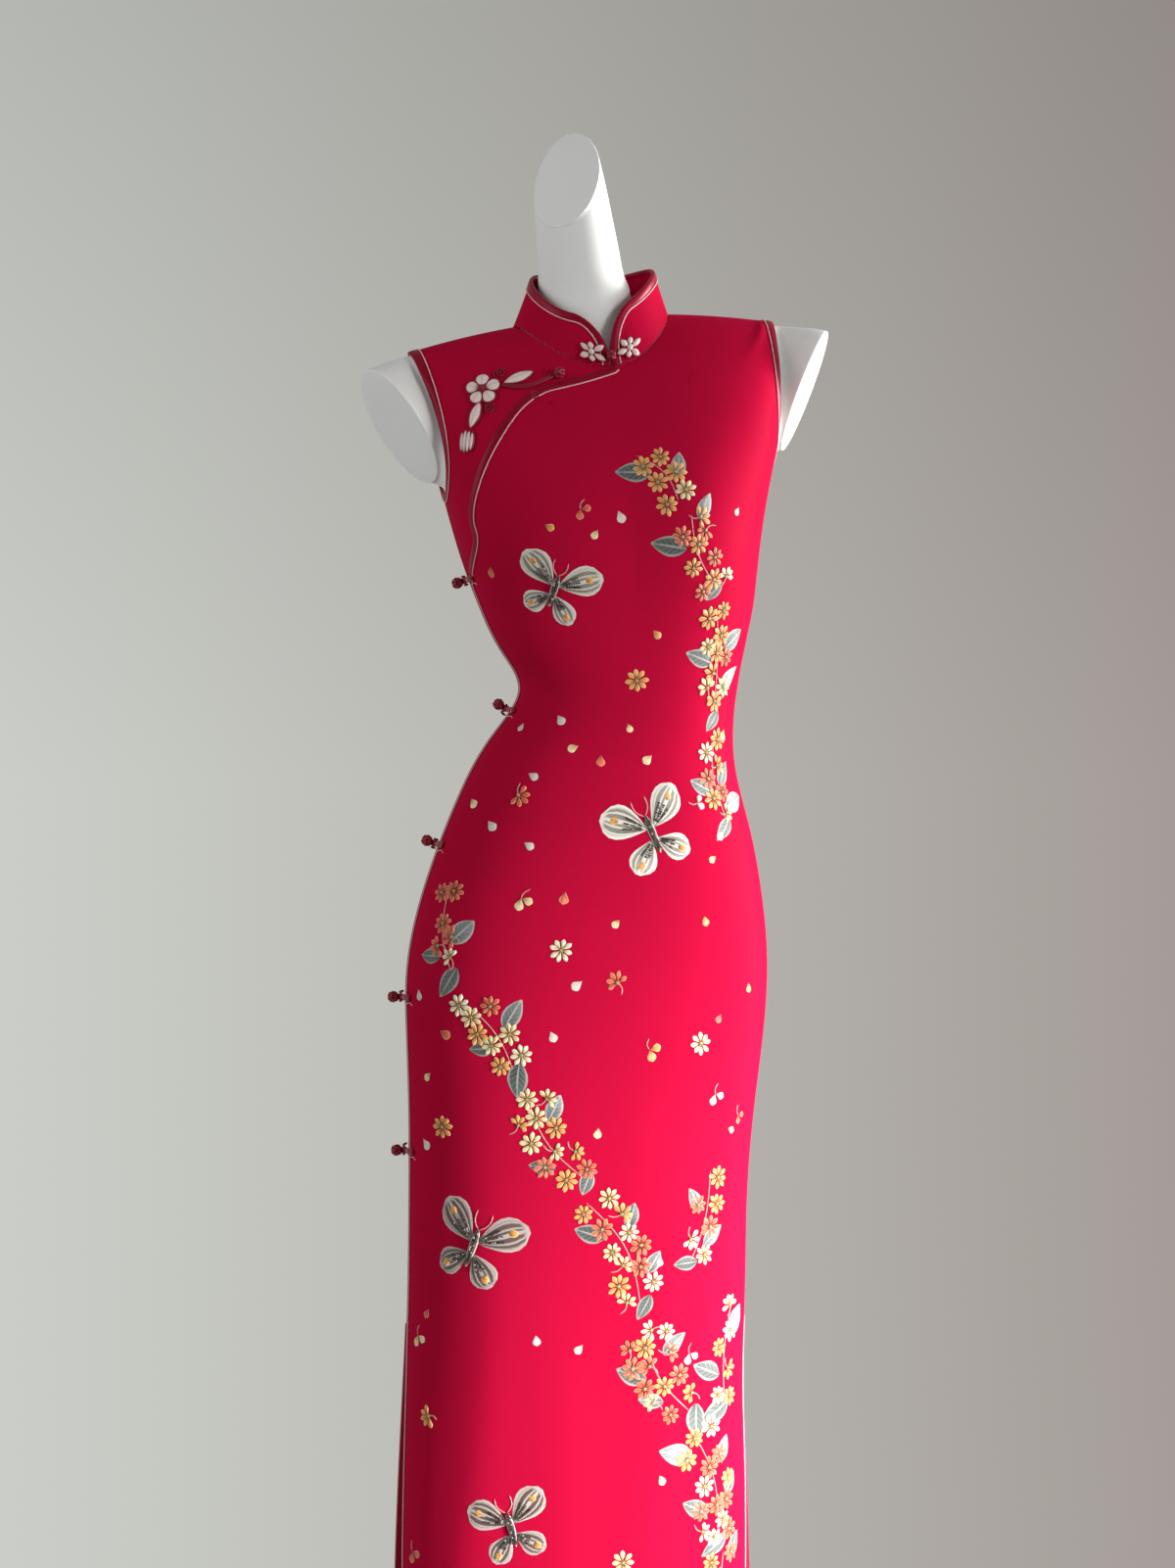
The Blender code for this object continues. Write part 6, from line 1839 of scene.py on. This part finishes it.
# Beads as small balls of three rings and two poles.
def makeBeads():
    middle, tone = np.concatenate(beadPoints), np.concatenate(beadTones)
    rise, angle = np.radians(butterfly["beadRings"]), wholeTurn(butterfly["beadAround"])
    ball = stacked(np.outer(np.cos(rise), np.cos(angle)), np.outer(np.cos(rise), np.sin(angle)),
                   np.outer(np.sin(rise), np.ones(len(angle))))
    _, (quads, fans), _ = ringBody(ball)
    ball = np.concatenate([ball.reshape(-1, 3), [(0, 0, -1), (0, 0, 1)]])
    size = butterfly["bead"] * (0.86 + 0.28 * dice.uniform(size=len(middle)))
    points = (middle[:, None] + ball[None] * size[:, None, None]).reshape(-1, 3)
    shift = (np.arange(len(middle)) * len(ball))[:, None, None]
    tones = np.array(butterfly["beadTones"])
    faces = [(quads[None] + shift).reshape(-1, 4), (fans[None] + shift).reshape(-1, 3)]
    makePiece("embroidery_beads", points, faces, "bead", (), None,
              {"thread": np.repeat(tones[tone], len(ball), axis=0)})


makeBeads()
print("embroidery made")

# Cut of each silk panel, its finished face laid flat: width across the grain, length along
# it, and area.
silkCuts = {
    "silk_front": (0.478, 1.426, 0.540), "silk_back": (0.461, 1.410, 0.567),
    "silk_yoke": (0.194, 0.296, 0.0230), "silk_collar": (0.457, 0.063, 0.0196),
}


def declareSheets():
    groups = {"silk_front": "front", "silk_back": "back", "silk_yoke": "yoke", "silk_collar": "collar"}
    for name, (width, length, area) in silkCuts.items():
        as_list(bindingPieces[groups[name]])


declareSheets()


# Lights: name, place, target, width, height, power, spread in degrees, colour.
lightRows = (
    ("side", (2.60, 0.20, 1.30), (0.0, 0.0, 1.00), 0.9, 2.2, 185.0, 180.0, (1.0, 0.985, 0.97)),
    ("low", (1.70, -1.43, 0.15), (0.0, 0.0, 0.28), 0.6, 0.6, 12.0, 48.0, (1.0, 0.985, 0.97)),
    ("front", (2.1, -2.6, 1.9), (0.0, 0.0, 1.40), 1.2, 1.2, 2.4, 36.0, (1.0, 1.0, 1.0)),
    ("left", (-2.6, -0.4, 1.7), (0.0, 0.0, 1.0), 1.8, 2.4, 27.0, 180.0, (0.96, 0.98, 1.0)),
)


# A soft area light that faces a point.
def makeLight(name, place, target, width, height, power, spread, colour):
    data = bpy.data.lights.new(name, "AREA")
    data.shape = "RECTANGLE"
    data.size, data.size_y, data.energy, data.color = width, height, power, colour
    data.spread = math.radians(spread)
    lamp = bpy.data.objects.new(name, data)
    lamp.location = place
    away = np.array(place) - np.array(target)
    upward, around = math.acos(away[2] / np.linalg.norm(away)), math.atan2(away[1], away[0])
    lamp.rotation_euler = (upward, 0, around + math.pi / 2)
    bpy.context.scene.collection.objects.link(lamp)


# The backdrop the camera sees is painted light and shade: the left colour fades to the darker right colour
# across the view and dims upward. Other rays see an even grey at the ambient strength, which lights the
# scene.
studio = {
    "left": (0.600, 0.620, 0.580), "right": (0.370, 0.330, 0.310), "across": (-0.02, 0.36),
    "upward": (0.0, 0.28), "dimming": (1.0, 0.74), "backdrop": (0.560, 0.560, 0.545),
    "ambient": 0.45, "floorRadius": 0.65, "floorCorners": 128, "floorColour": (0.52, 0.52, 0.505),
    "floorMottle": 0.96,
}


def makeStudio():
    for row in lightRows:
        makeLight(*row)
    world = bpy.data.worlds.new("studio")
    world.use_nodes = True
    nodes, links = world.node_tree.nodes, world.node_tree.links
    where, split, span, fade, paint, lit, path, mix = (nodes.new("ShaderNode" + kind) for kind in (
        "TexCoord", "SeparateXYZ", "MapRange", "MapRange", "Mix", "Background", "LightPath", "MixShader"))
    seen = nodes["Background"]
    paint.data_type = "RGBA"
    for source, out, target, into in (
            (where, "Generated", split, "Vector"), (split, "X", span, "Value"), (split, "Z", fade, "Value"),
            (span, "Result", paint, 0), (paint, 2, seen, "Color"), (fade, "Result", seen, "Strength"),
            (path, "Is Camera Ray", mix, "Fac"), (lit, "Background", mix, 1), (seen, "Background", mix, 2),
            (mix, "Shader", nodes["World Output"], "Surface")):
        links.new(source.outputs[out], target.inputs[into])
    for node, key, (low, high) in ((span, "From", studio["across"]), (fade, "From", studio["upward"]),
                                   (fade, "To", studio["dimming"])):
        node.inputs[key + " Min"].default_value, node.inputs[key + " Max"].default_value = low, high
    # painted light and shade on the backdrop: lighter left, darker right
    for node, place, colour in ((paint, 6, "left"), (paint, 7, "right"), (lit, 0, "backdrop")):
        node.inputs[place].default_value = (*studio[colour], 1.0)
    lit.inputs["Strength"].default_value = studio["ambient"]
    bpy.context.scene.world = world
    bpy.context.scene.view_settings.view_transform = "Standard"

    corners = studio["floorCorners"]
    angle = wholeTurn(corners)
    ring = stacked(np.cos(angle), np.sin(angle), 0 * angle) * studio["floorRadius"]
    floorMesh = bpy.data.meshes.new("floor")
    floorMesh.from_pydata(ring.tolist(), [], [list(range(corners))])
    look = Look("pale floor")
    soft = look.noise(look.place(), 5.0)
    low = [channel * studio["floorMottle"] for channel in studio["floorColour"]]
    look.set(Base_Color=look.mix(soft, look.colour(*low), look.colour(*studio["floorColour"])), Roughness=0.8)
    floorMesh.materials.append(look.material)
    floor = bpy.data.objects.new("floor", floorMesh)
    bpy.context.scene.collection.objects.link(floor)


makeStudio()
